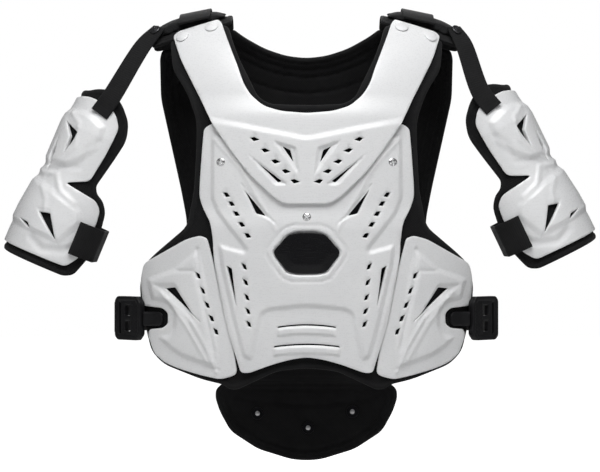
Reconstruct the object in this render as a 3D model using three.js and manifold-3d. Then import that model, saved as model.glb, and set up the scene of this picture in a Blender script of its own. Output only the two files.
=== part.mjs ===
// Chest and back protector with arm guards, in millimetres.
// +Z is up, the front faces -Y. The origin is midway between the undersides of the shoulder pads.

import * as THREE from 'three';
import { mergeVertices } from 'three/addons/utils/BufferGeometryUtils.js';
import Module from 'manifold-3d';

const wasm = await Module();
wasm.setup();

// Torso form: an oval in plan, rounded over the shoulders.
const FRONT_DEPTH = 122;
const BACK_DEPTH = 118;
const SHOULDER_ROUND = 150;
const SHOULDER_FALL = 16;
const WAIST_TAPER = 0.12;

// Sheets and the clearance between them.
const LINER_THICKNESS = 7;
const PLATE_THICKNESS = 2.5;
const RELIEF_HEIGHT = 2;
const CLEARANCE = 0.5;

// Front pieces.
const LINER_WIDTH = 404;
const LINER_TOP = -14;
const LINER_HEIGHT = 442;
const CHEST_WIDTH = 322;
const CHEST_TOP = -10;
const CHEST_HEIGHT = 221;
const ABDOMEN_WIDTH = 254;
const ABDOMEN_TOP = -134;
const ABDOMEN_HEIGHT = 300;
const SIDE_REACH = 198;
const SIDE_TOP = -268;
const SIDE_HEIGHT = 175;

// Back pieces.
const BACK_WIDTH = 366;
const BACK_TOP = -10;
const BACK_HEIGHT = 448;
const TAIL_WIDTH = 234;
const TAIL_HEIGHT = 104;

// Shoulders.
const PAD_INNER = 92;
const PAD_WIDTH = 98;
const PAD_THICKNESS = 12;
const BRIDGE_WIDTH = 40;
const WEBBING_THICKNESS = 2.2;
const ARM_WEBBING_WIDTH = 24;

// Fastenings.
const CAP_RADIUS = 8.5;
const CAP_HEIGHT = 3;
const SCREW_RADIUS = 5;
const SNAP_RADIUS = 6.5;
const RIVET_RADIUS = 8;
const VENT_LENGTH = 9;
const VENT_WIDTH = 5;

// Waist fastening.
const WAIST_LEVEL = SIDE_TOP - SIDE_HEIGHT * 0.5886;
const WAIST_WEBBING_WIDTH = 38;
const BUCKLE_LENGTH = 50;
const BUCKLE_HEIGHT = 54;
const BUCKLE_THICKNESS = 9;
const TONGUE_WIDTH = 17;
const TONGUE_THICKNESS = 3;

// Arm guards.
const GUARD_LENGTH = 235;
const GUARD_RADIUS = 54;
const GUARD_TILT_LEFT = 23;
const GUARD_TILT_RIGHT = 26;
const GUARD_SPREAD_LEFT = 41;
const GUARD_SPREAD_RIGHT = 15;
const GUARD_DROP_LEFT = 93;
const GUARD_DROP_RIGHT = 88;
const GUARD_BAND_WIDTH = 42;

const WHITE = { color: 0xe9eaec, roughness: 0.38, metalness: 0 };
const FOAM = { color: 0x17181a, roughness: 0.95, metalness: 0 };
const FABRIC = { color: 0x101113, roughness: 0.9, metalness: 0 };
const WEBBING = { color: 0x131416, roughness: 0.85, metalness: 0 };
const BLACK_PLASTIC = { color: 0x0c0d0e, roughness: 0.45, metalness: 0 };
const STEEL = { color: 0xb4b7bb, roughness: 0.3, metalness: 1 };
const DARK_METAL = { color: 0x4a4d51, roughness: 0.4, metalness: 0.8 };

const LINER_FACE = LINER_THICKNESS + CLEARANCE;
const PLATE_STEP = PLATE_THICKNESS + CLEARANCE;
// The torso's oval is a little wider than the wider of the front and back liners.
const TORSO_WIDTH = Math.max(LINER_WIDTH * 1.0495, BACK_WIDTH * 1.1585);
const TORSO_HALF = TORSO_WIDTH / 2;

// A closed three.js geometry as a solid.
function toSolid(geometry) {
  geometry.deleteAttribute('normal');
  geometry.deleteAttribute('uv');
  const merged = mergeVertices(geometry, 1e-4);
  return new wasm.Manifold(new wasm.Mesh({
    numProp: 3,
    vertProperties: new Float32Array(merged.attributes.position.array),
    triVerts: new Uint32Array(merged.index.array),
  }));
}

// A solid as a three.js geometry.
function toGeometry(solid) {
  const mesh = solid.getMesh();
  const geometry = new THREE.BufferGeometry();
  const vertices = new Float32Array(mesh.numVert * 3);
  for (let i = 0; i < mesh.numVert; i += 1) {
    for (let c = 0; c < 3; c += 1) vertices[i * 3 + c] = mesh.vertProperties[i * mesh.numProp + c];
  }
  geometry.setAttribute('position', new THREE.BufferAttribute(vertices, 3));
  geometry.setIndex(Array.from(mesh.triVerts));
  return geometry;
}

function union(solids) {
  return solids.reduce((sum, solid) => sum.add(solid));
}

// A block of cells carried onto a curved sheet: us and vs are the grid lines, and the sheet
// runs from offset low to offset high. high may be a function of (u, v).
function sheet(map, us, vs, low, high) {
  const block = new THREE.BoxGeometry(1, 1, 1, us.length - 1, vs.length - 1, 1);
  const position = block.attributes.position;
  for (let i = 0; i < position.count; i += 1) {
    const u = us[Math.round((position.getX(i) + 0.5) * (us.length - 1))];
    const v = vs[Math.round((position.getY(i) + 0.5) * (vs.length - 1))];
    const top = typeof high === 'function' ? high(u, v) : high;
    const p = map(u, v, position.getZ(i) > 0 ? top : low);
    position.setXYZ(i, p.x, p.y, p.z);
  }
  return toSolid(block);
}

// A flat outline of [u, v] points carried onto the sheet and run through it.
function cutter(map, outline, low, high, step = 56) {
  const shape = new THREE.Shape(outline.map(([u, v]) => new THREE.Vector2(u, v)));
  const block = new THREE.ExtrudeGeometry(shape, { depth: high - low, bevelEnabled: false });
  const fine = toSolid(block).refineToLength(step);
  return fine.warp((p) => {
    const q = map(p[0], p[1], p[2] + low);
    p[0] = q.x;
    p[1] = q.y;
    p[2] = q.z;
  });
}

// Evenly spaced numbers from first to last.
function steps(first, last, count) {
  return Array.from({ length: count + 1 }, (_, i) => first + ((last - first) * i) / count);
}

// Piecewise linear value of a [position, value] table.
function lookup(table, at) {
  if (at <= table[0][0]) return table[0][1];
  for (let i = 1; i < table.length; i += 1) {
    const [a, low] = table[i - 1];
    const [b, high] = table[i];
    if (at <= b) return low + ((high - low) * (at - a)) / (b - a);
  }
  return table[table.length - 1][1];
}

function ease(t) {
  const s = Math.min(Math.max(t, 0), 1);
  return s * s * (3 - 2 * s);
}

// The surface point moved out along the normal that its two tangents give.
function lifted(surface, u, v, offset) {
  const h = 0.25;
  const p = surface(u, v);
  const du = surface(u + h, v).sub(surface(u - h, v));
  const dv = surface(u, v + h).sub(surface(u, v - h));
  return p.addScaledVector(du.cross(dv).normalize(), offset);
}

// The oval's depth factor across the body.
function across(x) {
  return Math.sqrt(Math.max(1 - (x / TORSO_HALF) ** 2, 0.01));
}

// How far the shoulder line falls outward of the inner pad edge.
function fall(x) {
  const out = Math.max(Math.abs(x) - PAD_INNER, 0) / (PAD_WIDTH * 0.85);
  return SHOULDER_FALL * out * out;
}

const ROUNDNESS = 2.2;

// Depth of the body at height z in front of or behind its middle.
function depthAt(z, depth) {
  const s = Math.min(Math.max(-z / SHOULDER_ROUND, 0.002), 1);
  const below = Math.max(-z - SHOULDER_ROUND, 0) / LINER_HEIGHT;
  return depth * (1 - (1 - s) ** ROUNDNESS) ** (1 / ROUNDNESS) * (1 - WAIST_TAPER * 1.5 * below * below);
}

function frontSurface(x, z) {
  return new THREE.Vector3(x, -depthAt(z + fall(x), FRONT_DEPTH) * across(x), z);
}

function backSurface(x, z) {
  return new THREE.Vector3(-x, depthAt(z + fall(x), BACK_DEPTH) * across(x), z);
}

function front(x, z, offset) {
  return lifted(frontSurface, x, z, offset);
}

function back(x, z, offset) {
  return lifted(backSurface, x, z, offset);
}

// The abdomen plate steps out over the side plates, and the chest plate over the abdomen plate.
function abdomenLift(z) {
  return PLATE_STEP * ease((SIDE_TOP + 36 - z) / 30);
}

function chestLift(z) {
  return (PLATE_STEP + RELIEF_HEIGHT) * ease((ABDOMEN_TOP + 34 - z) / 30) + abdomenLift(z);
}

function onAbdomen(x, z, offset) {
  return front(x, z, offset + abdomenLift(z));
}

function onChest(x, z, offset) {
  return front(x, z, offset + chestLift(z));
}

// Grid lines shared by the stacked sheets, so that their facets run parallel.
const COLUMN_ANGLE = 10;
const COLUMNS = steps(-75, 75, 150 / COLUMN_ANGLE)
  .map((angle) => TORSO_HALF * Math.sin(THREE.MathUtils.degToRad(angle)));
const ROWS = [
  1.086, 0.9819, 0.7873, 0.595, 0.5588, 0.5226, 0.2964, 0.2647, 0.233, 0.1991, 0.1312, 0.0769, 0.0407, 0.0181,
].map((share) => -share * LINER_HEIGHT);

// The shared grid lines that cover a span.
function covering(lines, low, high) {
  const first = Math.max(lines.findLastIndex((line) => line <= low), 0);
  const last = lines.findIndex((line) => line >= high);
  return lines.slice(first, last < 0 ? lines.length : last + 1);
}

// An outline table of shares, placed: across by half the width, down by the height from the top.
function placed(table, width, top, height) {
  return table.map(([across01, down]) => [(across01 * width) / 2, top - down * height]);
}

function mirrored(points) {
  return points.map(([u, v]) => [-u, v]);
}

// A half outline closed by its mirror image.
function both(points) {
  const other = mirrored(points).reverse().filter(([u]) => u < -1e-6);
  return points.concat(other);
}

function forSide(side, points) {
  return side > 0 ? points : mirrored(points);
}

const object = new THREE.Group();

// Adds a solid, or a three.js geometry, under its name.
function add(name, shape, look) {
  const geometry = shape.isBufferGeometry ? shape : toGeometry(shape.simplify(CLEARANCE / 5));
  const mesh = new THREE.Mesh(geometry, new THREE.MeshStandardMaterial(look));
  mesh.name = name;
  object.add(mesh);
  return mesh;
}

// A plate: the shared grid's sheet over an outline, cut by that outline.
function plate(map, outline, low, high) {
  const us = outline.map(([u]) => u);
  const vs = outline.map(([, v]) => v);
  const columns = covering(COLUMNS, Math.min(...us) - 1, Math.max(...us) + 1);
  const rows = covering(ROWS, Math.min(...vs) - 1, Math.max(...vs) + 1);
  return sheet(map, columns, rows, low, high).intersect(cutter(map, outline, low - 2, high + 7));
}

// Four-cornered vent slots at the listed places, each leaning by the given angle.
function slots(map, places, lean, low, high) {
  return places.map(([x, z]) => {
    const angle = THREE.MathUtils.degToRad(lean) * Math.sign(x);
    const corners = [[VENT_LENGTH / 2, 0], [0.4, VENT_WIDTH / 2], [-VENT_LENGTH / 2, 0], [-0.4, -VENT_WIDTH / 2]];
    const outline = corners.map(([a, b]) => [
      x + a * Math.cos(angle) - b * Math.sin(angle),
      z + a * Math.sin(angle) + b * Math.cos(angle),
    ]);
    return cutter(map, outline, low, high, 30);
  });
}

function cutAll(solid, tools) {
  return tools.length ? solid.subtract(union(tools)) : solid;
}

// The same outlines on both sides of the middle.
function onBothSides(outlines) {
  return outlines.flatMap((points) => [points, mirrored(points)]);
}

// The line across the shoulder where the front sheets end under the pads.
const SHOULDER_SLOPE = 0.29;
function shoulderLine(x) {
  return LINER_TOP + 1.8 - (Math.abs(x) - PAD_INNER) * SHOULDER_SLOPE;
}

const LINER_EDGE = [
  [0, 0.225], [0.215, 0.222], [0.287, 0.203], [0.335, 0.158], [0.400, 0.099], [0.441, 0.052],
];
const LINER_FLANK = [
  [0.798, 0.123], [0.708, 0.188], [0.650, 0.262], [0.651, 0.330], [0.664, 0.450], [0.707, 0.552],
  [0.895, 0.625], [0.957, 0.653], [0.997, 0.708], [0.990, 0.775], [0.925, 0.899], [0.849, 0.934],
  [0.626, 0.972], [0.498, 0.985], [0.455, 0.998], [0.408, 0.998], [0.179, 0.947], [0, 0.938],
];
const CHEST_EDGE = [
  [0, 0.516], [0.186, 0.505], [0.312, 0.477], [0.410, 0.416], [0.463, 0.355], [0.509, 0.260],
  [0.588, 0.122], [0.638, 0.030], [0.666, 0.006], [0.962, 0.067], [0.995, 0.090], [0.924, 0.225],
  [0.795, 0.406], [0.678, 0.564], [0.544, 0.710], [0.424, 0.829], [0.256, 0.954], [0.167, 1.001],
  [0, 1.001],
];
const CHEST_RAISED = [
  [0, 0.630], [0.655, 0.535], [0.635, 0.575], [0.506, 0.708], [0.386, 0.820], [0.230, 0.925],
  [0.150, 0.968], [0, 0.968],
];
const CHEST_INNER_POCKET = [[0.251, 0.653], [0.071, 0.695], [0.051, 0.857]];
const CHEST_INNER_VENT = [[0.175, 0.690], [0.118, 0.711], [0.096, 0.776]];
const CHEST_OUTER_POCKET = [[0.458, 0.705], [0.229, 0.899], [0.123, 0.899]];
const CHEST_OUTER_VENT = [[0.345, 0.782], [0.205, 0.886], [0.178, 0.878]];
const CHEST_SLOTS = [[0.370, 0.652], [0.293, 0.713], [0.220, 0.773], [0.146, 0.826], [0.082, 0.880]];
const CAP_PLACES = [[0.920, 0.096], [0.708, 0.052]];

const ABDOMEN_EDGE = [
  [0, 0.022], [0.567, 0.005], [0.882, 0.003], [0.950, 0.022], [0.967, 0.099], [0.991, 0.244],
  [0.994, 0.296], [0.960, 0.341], [0.907, 0.401], [0.888, 0.469], [0.857, 0.568], [0.754, 0.775],
  [0.707, 0.857], [0.607, 1.000], [0.531, 1.001], [0.308, 0.965], [0.151, 0.946], [0, 0.936],
];
const ABDOMEN_RAISED = [
  [0, 0.045], [0.860, 0.045], [0.882, 0.060], [0.888, 0.300], [0.835, 0.360], [0.560, 0.512],
  [0.815, 0.480], [0.790, 0.575], [0.680, 0.790], [0.590, 0.940], [0.500, 0.955], [0.440, 0.830],
  [0.400, 0.768], [0.340, 0.752], [0, 0.738],
];
const ABDOMEN_POCKET = [[0.707, 0.182], [0.250, 0.415], [0.400, 0.375]];
const ABDOMEN_VENT = [[0.572, 0.268], [0.378, 0.372], [0.465, 0.363]];
const ABDOMEN_UPPER_SLOTS = [[0.739, 0.288], [0.693, 0.324], [0.647, 0.364], [0.594, 0.407], [0.540, 0.451]];
const ABDOMEN_LOWER_SLOTS = [[0.566, 0.574], [0.554, 0.637], [0.543, 0.697], [0.534, 0.752], [0.526, 0.804]];
const ABDOMEN_SIDE_SLIT = [[0.727, 0.571], [0.680, 0.582], [0.641, 0.731]];
const ABDOMEN_RIBS = [[0.265, 0.812, 0.838], [0.288, 0.878, 0.906]];
const SCREW_PLACES = [[0.786, 0.157], [-0.786, 0.157], [0, 0.376]];
const INSERT_PLACE = 0.520;
const INSERT_WIDTH = 76;
const INSERT_HEIGHT = 50;
const INSERT_EDGE = [
  [0.30, 1], [0.58, 0.86], [1, 0.10], [0.98, -0.12], [0.60, -0.90], [0.34, -1],
  [-0.34, -1], [-0.60, -0.90], [-0.98, -0.12], [-1, 0.10], [-0.58, 0.86], [-0.30, 1],
];

// Side plate tables run across from the abdomen plate's half width (0) to the side reach (1).
const SIDE_EDGE = [
  [-0.121, 0.025], [-0.146, 0.039], [-0.258, 0.211], [-0.436, 0.563], [-0.548, 0.708], [-0.640, 0.963],
  [-0.358, 1.000], [-0.012, 0.971], [0.353, 0.929], [0.585, 0.890], [0.755, 0.830], [0.855, 0.705],
  [0.830, 0.662], [0.610, 0.652], [0.520, 0.622], [0.520, 0.544], [0.610, 0.512], [0.853, 0.503],
  [0.944, 0.498],
  [0.983, 0.321], [0.925, 0.201], [0.208, 0.032], [-0.018, 0.008],
];
const SIDE_RAISED = [
  [0.880, 0.305], [0.420, 0.235], [-0.010, 0.092], [-0.070, 0.200], [-0.190, 0.480], [-0.330, 0.760],
  [-0.340, 0.930], [-0.040, 0.900], [0.300, 0.850], [0.520, 0.790], [0.700, 0.710], [0.500, 0.690],
  [0.430, 0.640], [0.430, 0.530], [0.520, 0.480], [0.800, 0.455],
];
const SIDE_POCKET = [[0.780, 0.339], [0.360, 0.338], [-0.023, 0.640]];
const SIDE_VENT = [[0.554, 0.375], [0.389, 0.366], [0.020, 0.600]];
const SIDE_SLOTS = [[0.001, 0.283], [-0.074, 0.387], [-0.143, 0.485], [-0.213, 0.577], [-0.286, 0.668]];

function placedOnSide(table) {
  const inner = ABDOMEN_WIDTH / 2;
  return table.map(([u, down]) => [inner + u * (SIDE_REACH - inner), SIDE_TOP - down * SIDE_HEIGHT]);
}

const padXs = [PAD_INNER + 4, PAD_INNER + 34, PAD_INNER + 64, PAD_INNER + 73];
const linerHalf = placed(LINER_EDGE, LINER_WIDTH, LINER_TOP, LINER_HEIGHT)
  .concat(padXs.map((x) => [x, shoulderLine(x)]))
  .concat(placed(LINER_FLANK, LINER_WIDTH, LINER_TOP, LINER_HEIGHT));
add('front_liner', plate(front, both(linerHalf), 0, LINER_THICKNESS), FOAM);

// Chest plate.
const onChestPlate = (table) => placed(table, CHEST_WIDTH, CHEST_TOP, CHEST_HEIGHT);
const faceLow = LINER_FACE;
const faceHigh = LINER_FACE + PLATE_THICKNESS;
const reliefHigh = faceHigh + RELIEF_HEIGHT;
const chestVents = [CHEST_INNER_VENT, CHEST_OUTER_VENT].map(onChestPlate);
const chestPockets = [CHEST_INNER_POCKET, CHEST_OUTER_POCKET].map(onChestPlate);
const chestRelief = cutAll(
  plate(onChest, both(onChestPlate(CHEST_RAISED)), faceHigh - 0.6, reliefHigh),
  onBothSides(chestPockets).map((points) => cutter(onChest, points, faceHigh - 2, reliefHigh + 4)),
);
const chestSlots = onChestPlate(CHEST_SLOTS);
const chest = cutAll(plate(onChest, both(onChestPlate(CHEST_EDGE)), faceLow, faceHigh).add(chestRelief), [
  ...onBothSides(chestVents).map((points) => cutter(onChest, points, faceLow - 3, reliefHigh + 4)),
  ...slots(onChest, chestSlots.concat(mirrored(chestSlots)), -14, faceLow - 3, reliefHigh + 4),
]);
add('chest_plate', chest, WHITE);

// Abdomen plate.
const onAbdomenPlate = (table) => placed(table, ABDOMEN_WIDTH, ABDOMEN_TOP, ABDOMEN_HEIGHT);
const insertCentre = ABDOMEN_TOP - INSERT_PLACE * ABDOMEN_HEIGHT;
const insertOutline = (grow) => INSERT_EDGE.map(([u, v]) => [
  u * (INSERT_WIDTH / 2 + grow),
  insertCentre + v * (INSERT_HEIGHT / 2 + grow),
]);
const ribs = ABDOMEN_RIBS.map(([half, top, bottom]) => {
  const edge = both([[0, top - 0.004], [half, top], [half * 1.03, bottom], [0, bottom - 0.004]]);
  return plate(onAbdomen, onAbdomenPlate(edge), faceHigh - 0.6, faceHigh + RELIEF_HEIGHT * 0.7);
});
const abdomenPockets = [ABDOMEN_POCKET].map(onAbdomenPlate);
const abdomenVents = [ABDOMEN_VENT, ABDOMEN_SIDE_SLIT].map(onAbdomenPlate);
const abdomenRelief = cutAll(
  plate(onAbdomen, both(onAbdomenPlate(ABDOMEN_RAISED)), faceHigh - 0.6, reliefHigh),
  [...onBothSides(abdomenPockets), insertOutline(CLEARANCE)]
    .map((points) => cutter(onAbdomen, points, faceHigh - 2, reliefHigh + 4)),
);
const abdomenSlots = onAbdomenPlate([...ABDOMEN_UPPER_SLOTS, ...ABDOMEN_LOWER_SLOTS]);
const abdomen = cutAll(
  union([plate(onAbdomen, both(onAbdomenPlate(ABDOMEN_EDGE)), faceLow, faceHigh), abdomenRelief, ...ribs]),
  [
    ...onBothSides(abdomenVents).map((points) => cutter(onAbdomen, points, faceLow - 3, reliefHigh + 4)),
    ...slots(onAbdomen, abdomenSlots.concat(mirrored(abdomenSlots)), -55, faceLow - 3, reliefHigh + 4),
  ],
);
add('abdomen_plate', abdomen, WHITE);
add('front_insert', plate(onAbdomen, insertOutline(0), faceHigh + CLEARANCE, reliefHigh + 0.8), BLACK_PLASTIC);

// Side plates.
[['left', -1], ['right', 1]].forEach(([word, side]) => {
  const at = (table) => forSide(side, placedOnSide(table));
  const relief = cutAll(
    plate(front, at(SIDE_RAISED), faceHigh - 0.6, reliefHigh - 0.5),
    [cutter(front, at(SIDE_POCKET), faceHigh - 2, reliefHigh + 4)],
  );
  const solid = cutAll(plate(front, at(SIDE_EDGE), faceLow, faceHigh).add(relief), [
    cutter(front, at(SIDE_VENT), faceLow - 3, reliefHigh + 4),
    ...slots(front, at(SIDE_SLOTS), -62, faceLow - 3, reliefHigh + 4),
  ]);
  add(`side_plate_${word}`, solid, WHITE);
});

// Back: an inner liner and an outer plate, with the tail flap below.
const BACK_EDGE = [
  [0, 0.076], [0.140, 0.070], [0.287, 0.052], [0.425, 0.024], [0.503, 0.004],
];
const BACK_FLANK = [
  [0.998, 0.083], [0.994, 0.192], [0.933, 0.313], [0.864, 0.448], [0.827, 0.532], [0.820, 0.743],
  [0.760, 0.900], [0.660, 1], [0, 1],
];
const BACK_PLATE_EDGE = [
  [0, 0.120], [0.300, 0.110], [0.560, 0.085], [0.800, 0.100], [0.900, 0.160], [0.900, 0.300],
  [0.800, 0.450], [0.720, 0.600], [0.700, 0.780], [0.560, 0.960], [0, 0.980],
];
const TAIL_EDGE = [
  [0, 0], [0.880, 0], [0.985, 0.080], [0.989, 0.190], [0.942, 0.355], [0.825, 0.600], [0.529, 0.825],
  [0.165, 0.955], [0, 0.970],
];
const TAIL_PLATE_EDGE = [[0, 0.040], [0.850, 0.060], [0.900, 0.200], [0.740, 0.560], [0.460, 0.760], [0, 0.880]];
const RIVET_PLACES = [[-0.540, 0.385], [0.020, 0.567], [0.510, 0.365]];

const onBack = (table) => placed(table, BACK_WIDTH, BACK_TOP, BACK_HEIGHT);
const backEnds = padXs.map((x) => [x, shoulderLine(x)]);
const backHalf = [...onBack(BACK_EDGE), ...backEnds, ...onBack(BACK_FLANK)];
add('back_liner', plate(back, both(backHalf), 0, LINER_THICKNESS), FOAM);
add('back_plate', plate(back, both(onBack(BACK_PLATE_EDGE)), faceLow, faceHigh), WHITE);

const tailTop = BACK_TOP - BACK_HEIGHT - CLEARANCE;
const onTail = (table) => placed(table, TAIL_WIDTH, tailTop, TAIL_HEIGHT);
const TAIL_ROWS = [tailTop - TAIL_HEIGHT - 2, tailTop - TAIL_HEIGHT / 2, tailTop + 2];
const TAIL_COLUMNS = COLUMNS.filter((x) => Math.abs(x) < TAIL_WIDTH / 2 + 40);
const tailSheet = (table, low, high) => sheet(back, TAIL_COLUMNS, TAIL_ROWS, low, high)
  .intersect(cutter(back, both(onTail(table)), low - 4, high + 4));
add('tail_pad', tailSheet(TAIL_EDGE, 0, LINER_THICKNESS), FOAM);
add('tail_plate', tailSheet(TAIL_PLATE_EDGE, faceLow, faceHigh), WHITE);

// A turned piece standing on a sheet at (u, v), its profile given as [radius, height] points.
function turned(map, u, v, offset, profile, sides = 16) {
  const points = profile.map(([r, h]) => new THREE.Vector2(r, h));
  const geometry = new THREE.LatheGeometry(points, sides);
  const foot = map(u, v, offset);
  const up = map(u, v, offset + 1).sub(foot).normalize();
  const turn = new THREE.Quaternion().setFromUnitVectors(new THREE.Vector3(0, 1, 0), up);
  geometry.applyQuaternion(turn);
  geometry.translate(foot.x, foot.y, foot.z);
  return toSolid(geometry);
}

const domed = (radius, height) => [
  [0, 0], [radius, 0], [radius, height * 0.45], [radius * 0.72, height * 0.92], [0, height],
];

// White snap caps at the tops of the chest plate.
[['left', -1], ['right', 1]].forEach(([word, side]) => {
  onChestPlate(CAP_PLACES).forEach(([x, z], index) => {
    const cap = turned(onChest, side * x, z, faceHigh + CLEARANCE * 0.3, domed(CAP_RADIUS, CAP_HEIGHT), 14);
    add(`snap_cap_${word}_${index + 1}`, cap, WHITE);
  });
});

// Cross-head screws on the abdomen plate.
onAbdomenPlate(SCREW_PLACES).forEach(([x, z], index) => {
  const head = turned(onAbdomen, x, z, reliefHigh, domed(SCREW_RADIUS, SCREW_RADIUS * 0.5), 12);
  const recess = [[SCREW_RADIUS * 0.62, 0.7], [0.7, SCREW_RADIUS * 0.62]].map(([w, h]) => cutter(
    onAbdomen,
    [[x - w, z - h], [x + w, z - h], [x + w, z + h], [x - w, z + h]],
    reliefHigh + SCREW_RADIUS * 0.28,
    reliefHigh + SCREW_RADIUS,
  ));
  add(`screw_${index + 1}`, cutAll(head, recess), STEEL);
});

// Rivets with broad washers inside the tail.
onTail(RIVET_PLACES).forEach(([x, z], index) => {
  const inward = (u, v, offset) => back(-u, v, -offset);
  const profile = [
    [0, 0], [RIVET_RADIUS, 0], [RIVET_RADIUS * 0.94, 1], [RIVET_RADIUS * 0.4, 1.2],
    [RIVET_RADIUS * 0.34, 2.2], [0, 2.6],
  ];
  add(`tail_rivet_${index + 1}`, turned(inward, x, z, CLEARANCE * 2.6, profile, 12), DARK_METAL);
});

// Over the shoulders a point is named by x and by t, the way around from front to back.
const ARCH_SCALE = 100;

function archSurface(x, t) {
  const angle = t / ARCH_SCALE;
  const depth = angle < 0 ? FRONT_DEPTH : BACK_DEPTH;
  const y = Math.sign(angle) * depth * Math.abs(Math.sin(angle)) ** (2 / ROUNDNESS) * across(x);
  const drop = SHOULDER_ROUND * (1 - Math.abs(Math.cos(angle)) ** (2 / ROUNDNESS));
  return new THREE.Vector3(x, y, -drop - fall(x));
}

function arch(x, t, offset) {
  return lifted(archSurface, x, t, offset);
}

// The way around at which the arch reaches height z above x.
function around(x, z) {
  const level = Math.min(1 + (z + fall(x)) / SHOULDER_ROUND, 1);
  return ARCH_SCALE * Math.acos(level ** (ROUNDNESS / 2));
}

const padEnd = (x) => around(x, shoulderLine(x) + CLEARANCE * 3);
const padTopEnd = (x) => around(x, CHEST_TOP + CLEARANCE * 1.3 - (x - PAD_INNER - 15) * SHOULDER_SLOPE);

[['left', -1], ['right', 1]].forEach(([word, side]) => {
  const outer = PAD_INNER + PAD_WIDTH;
  const stations = steps(PAD_INNER, outer, 5);
  const xs = side > 0 ? stations : stations.map((x) => -x).reverse();
  const ts = steps(-1, 1, 8);
  const swept = (end, x0, x1, low, high) => {
    const lines = xs.map((x) => side * THREE.MathUtils.clamp(Math.abs(x), x0, x1));
    const columns = lines.filter((x, i) => i === 0 || Math.abs(x - lines[i - 1]) > 0.5);
    const map = (x, share, offset) => arch(x, share * end(Math.abs(x)), offset);
    return sheet(map, columns, ts, low, high);
  };
  const soft = (x) => {
    const edge = (2 * (Math.abs(x) - PAD_INNER)) / PAD_WIDTH - 1;
    return PAD_THICKNESS - 4 * edge ** 4;
  };
  const base = swept(padEnd, PAD_INNER, outer, 0, LINER_THICKNESS - 2);
  const top = swept(padTopEnd, PAD_INNER, outer, LINER_THICKNESS - 3, soft);
  add(`shoulder_pad_${word}`, base.add(top), FABRIC);

  const middle = PAD_INNER + PAD_WIDTH * 0.44;
  const bridgeLow = PAD_THICKNESS + CLEARANCE * 1.5;
  add(`shoulder_bridge_${word}`, swept(
    (x) => padTopEnd(x) * 0.96,
    middle - BRIDGE_WIDTH / 2,
    middle + BRIDGE_WIDTH / 2,
    bridgeLow,
    bridgeLow + WEBBING_THICKNESS,
  ), WEBBING);
});

// Where a strap's route is at a share of its way: each stop is [point, outward direction].
function ribbonFrame(stops, share) {
  const route = new THREE.CatmullRomCurve3(stops.map(([point]) => point), false, 'centripetal');
  const along = route.getTangent(share);
  const slot = Math.min(Math.floor(share * (stops.length - 1)), stops.length - 2);
  const mix = share * (stops.length - 1) - slot;
  const out = stops[slot][1].clone().lerp(stops[slot + 1][1], mix);
  const wide = new THREE.Vector3().crossVectors(out, along).normalize();
  const up = new THREE.Vector3().crossVectors(along, wide).normalize();
  return { here: route.getPoint(share), wide, up };
}

// A flat strap along a route. The width lies across the route, in the strap's own plane.
function ribbon(stops, width, thickness, count) {
  const block = new THREE.BoxGeometry(1, 1, 1, count, 1, 1);
  const position = block.attributes.position;
  for (let i = 0; i < position.count; i += 1) {
    const share = position.getX(i) + 0.5;
    const { here, wide, up } = ribbonFrame(stops, share);
    here.addScaledVector(wide, position.getY(i) * width).addScaledVector(up, position.getZ(i) * thickness);
    position.setXYZ(i, here.x, here.y, here.z);
  }
  return toSolid(block);
}

const vector = (x, y, z) => new THREE.Vector3(x, y, z);

// Arm guards. Around a guard the angle is 0 at its outermost line and 90 at the front;
// down it, s runs from 0 at the top to 1 at the bottom of the liner.
const GUARD_PLACES = [
  ['left', -1, GUARD_SPREAD_LEFT, GUARD_DROP_LEFT, GUARD_TILT_LEFT],
  ['right', 1, GUARD_SPREAD_RIGHT, GUARD_DROP_RIGHT, GUARD_TILT_RIGHT],
];
const GUARD_GIRTH = [
  [0, 0.70], [0.143, 0.75], [0.25, 0.82], [0.50, 0.82], [0.61, 0.90], [0.74, 0.97], [0.88, 1], [1, 1],
];
const GUARD_LINER = [
  [-52, 0.20], [-44, 0.09], [0, 0.06], [34, 0.05], [54, 0.022], [78, 0.004], [105, 0.060], [124, 0.130],
  [130, 0.21], [124, 0.321], [113, 0.500], [118, 0.535], [131, 0.560], [141, 0.610], [143, 0.697],
  [140, 0.850], [128, 0.975], [116, 1], [34, 1], [-40, 0.99], [-54, 0.95], [-56, 0.60],
];
const GUARD_SHELL = [
  [-42, 0.22], [-34, 0.13], [20, 0.10], [50, 0.080], [84, 0.085], [100, 0.120], [110, 0.175], [107, 0.333],
  [101, 0.490], [72, 0.545], [118, 0.572], [128, 0.612], [129, 0.685], [123, 0.880], [112, 0.950],
  [44, 0.955], [-30, 0.950], [-44, 0.90], [-46, 0.60],
];
const GUARD_RAISED_TOP = [[-20, 0.19], [60, 0.150], [94, 0.190], [96, 0.320], [84, 0.400], [66, 0.470], [20, 0.500], [-20, 0.46]];
const GUARD_RAISED_LOW = [[10, 0.560], [58, 0.590], [104, 0.640], [112, 0.700], [96, 0.860], [40, 0.850], [-20, 0.84], [-20, 0.60]];
const GUARD_VENTS = [
  [[33, 0.244], [61, 0.277], [54, 0.406], [52, 0.310]],
  [[59, 0.737], [73, 0.722], [90, 0.840]],
  [[37, 0.808], [52, 0.812], [56, 0.836]],
  [[30, 0.340], [36, 0.430], [33, 0.510], [27, 0.430]],
  [[-12, 0.30], [4, 0.27], [2, 0.40]],
  [[-14, 0.78], [2, 0.70], [4, 0.82]],
];
const GUARD_ROWS = [-0.02, 0.143, 0.25, 0.375, 0.50, 0.61, 0.74, 0.88, 1.02];
const BAND_START = 108;
const BAND_END = 318;
const BAND_LEVEL = 0.79;

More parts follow.
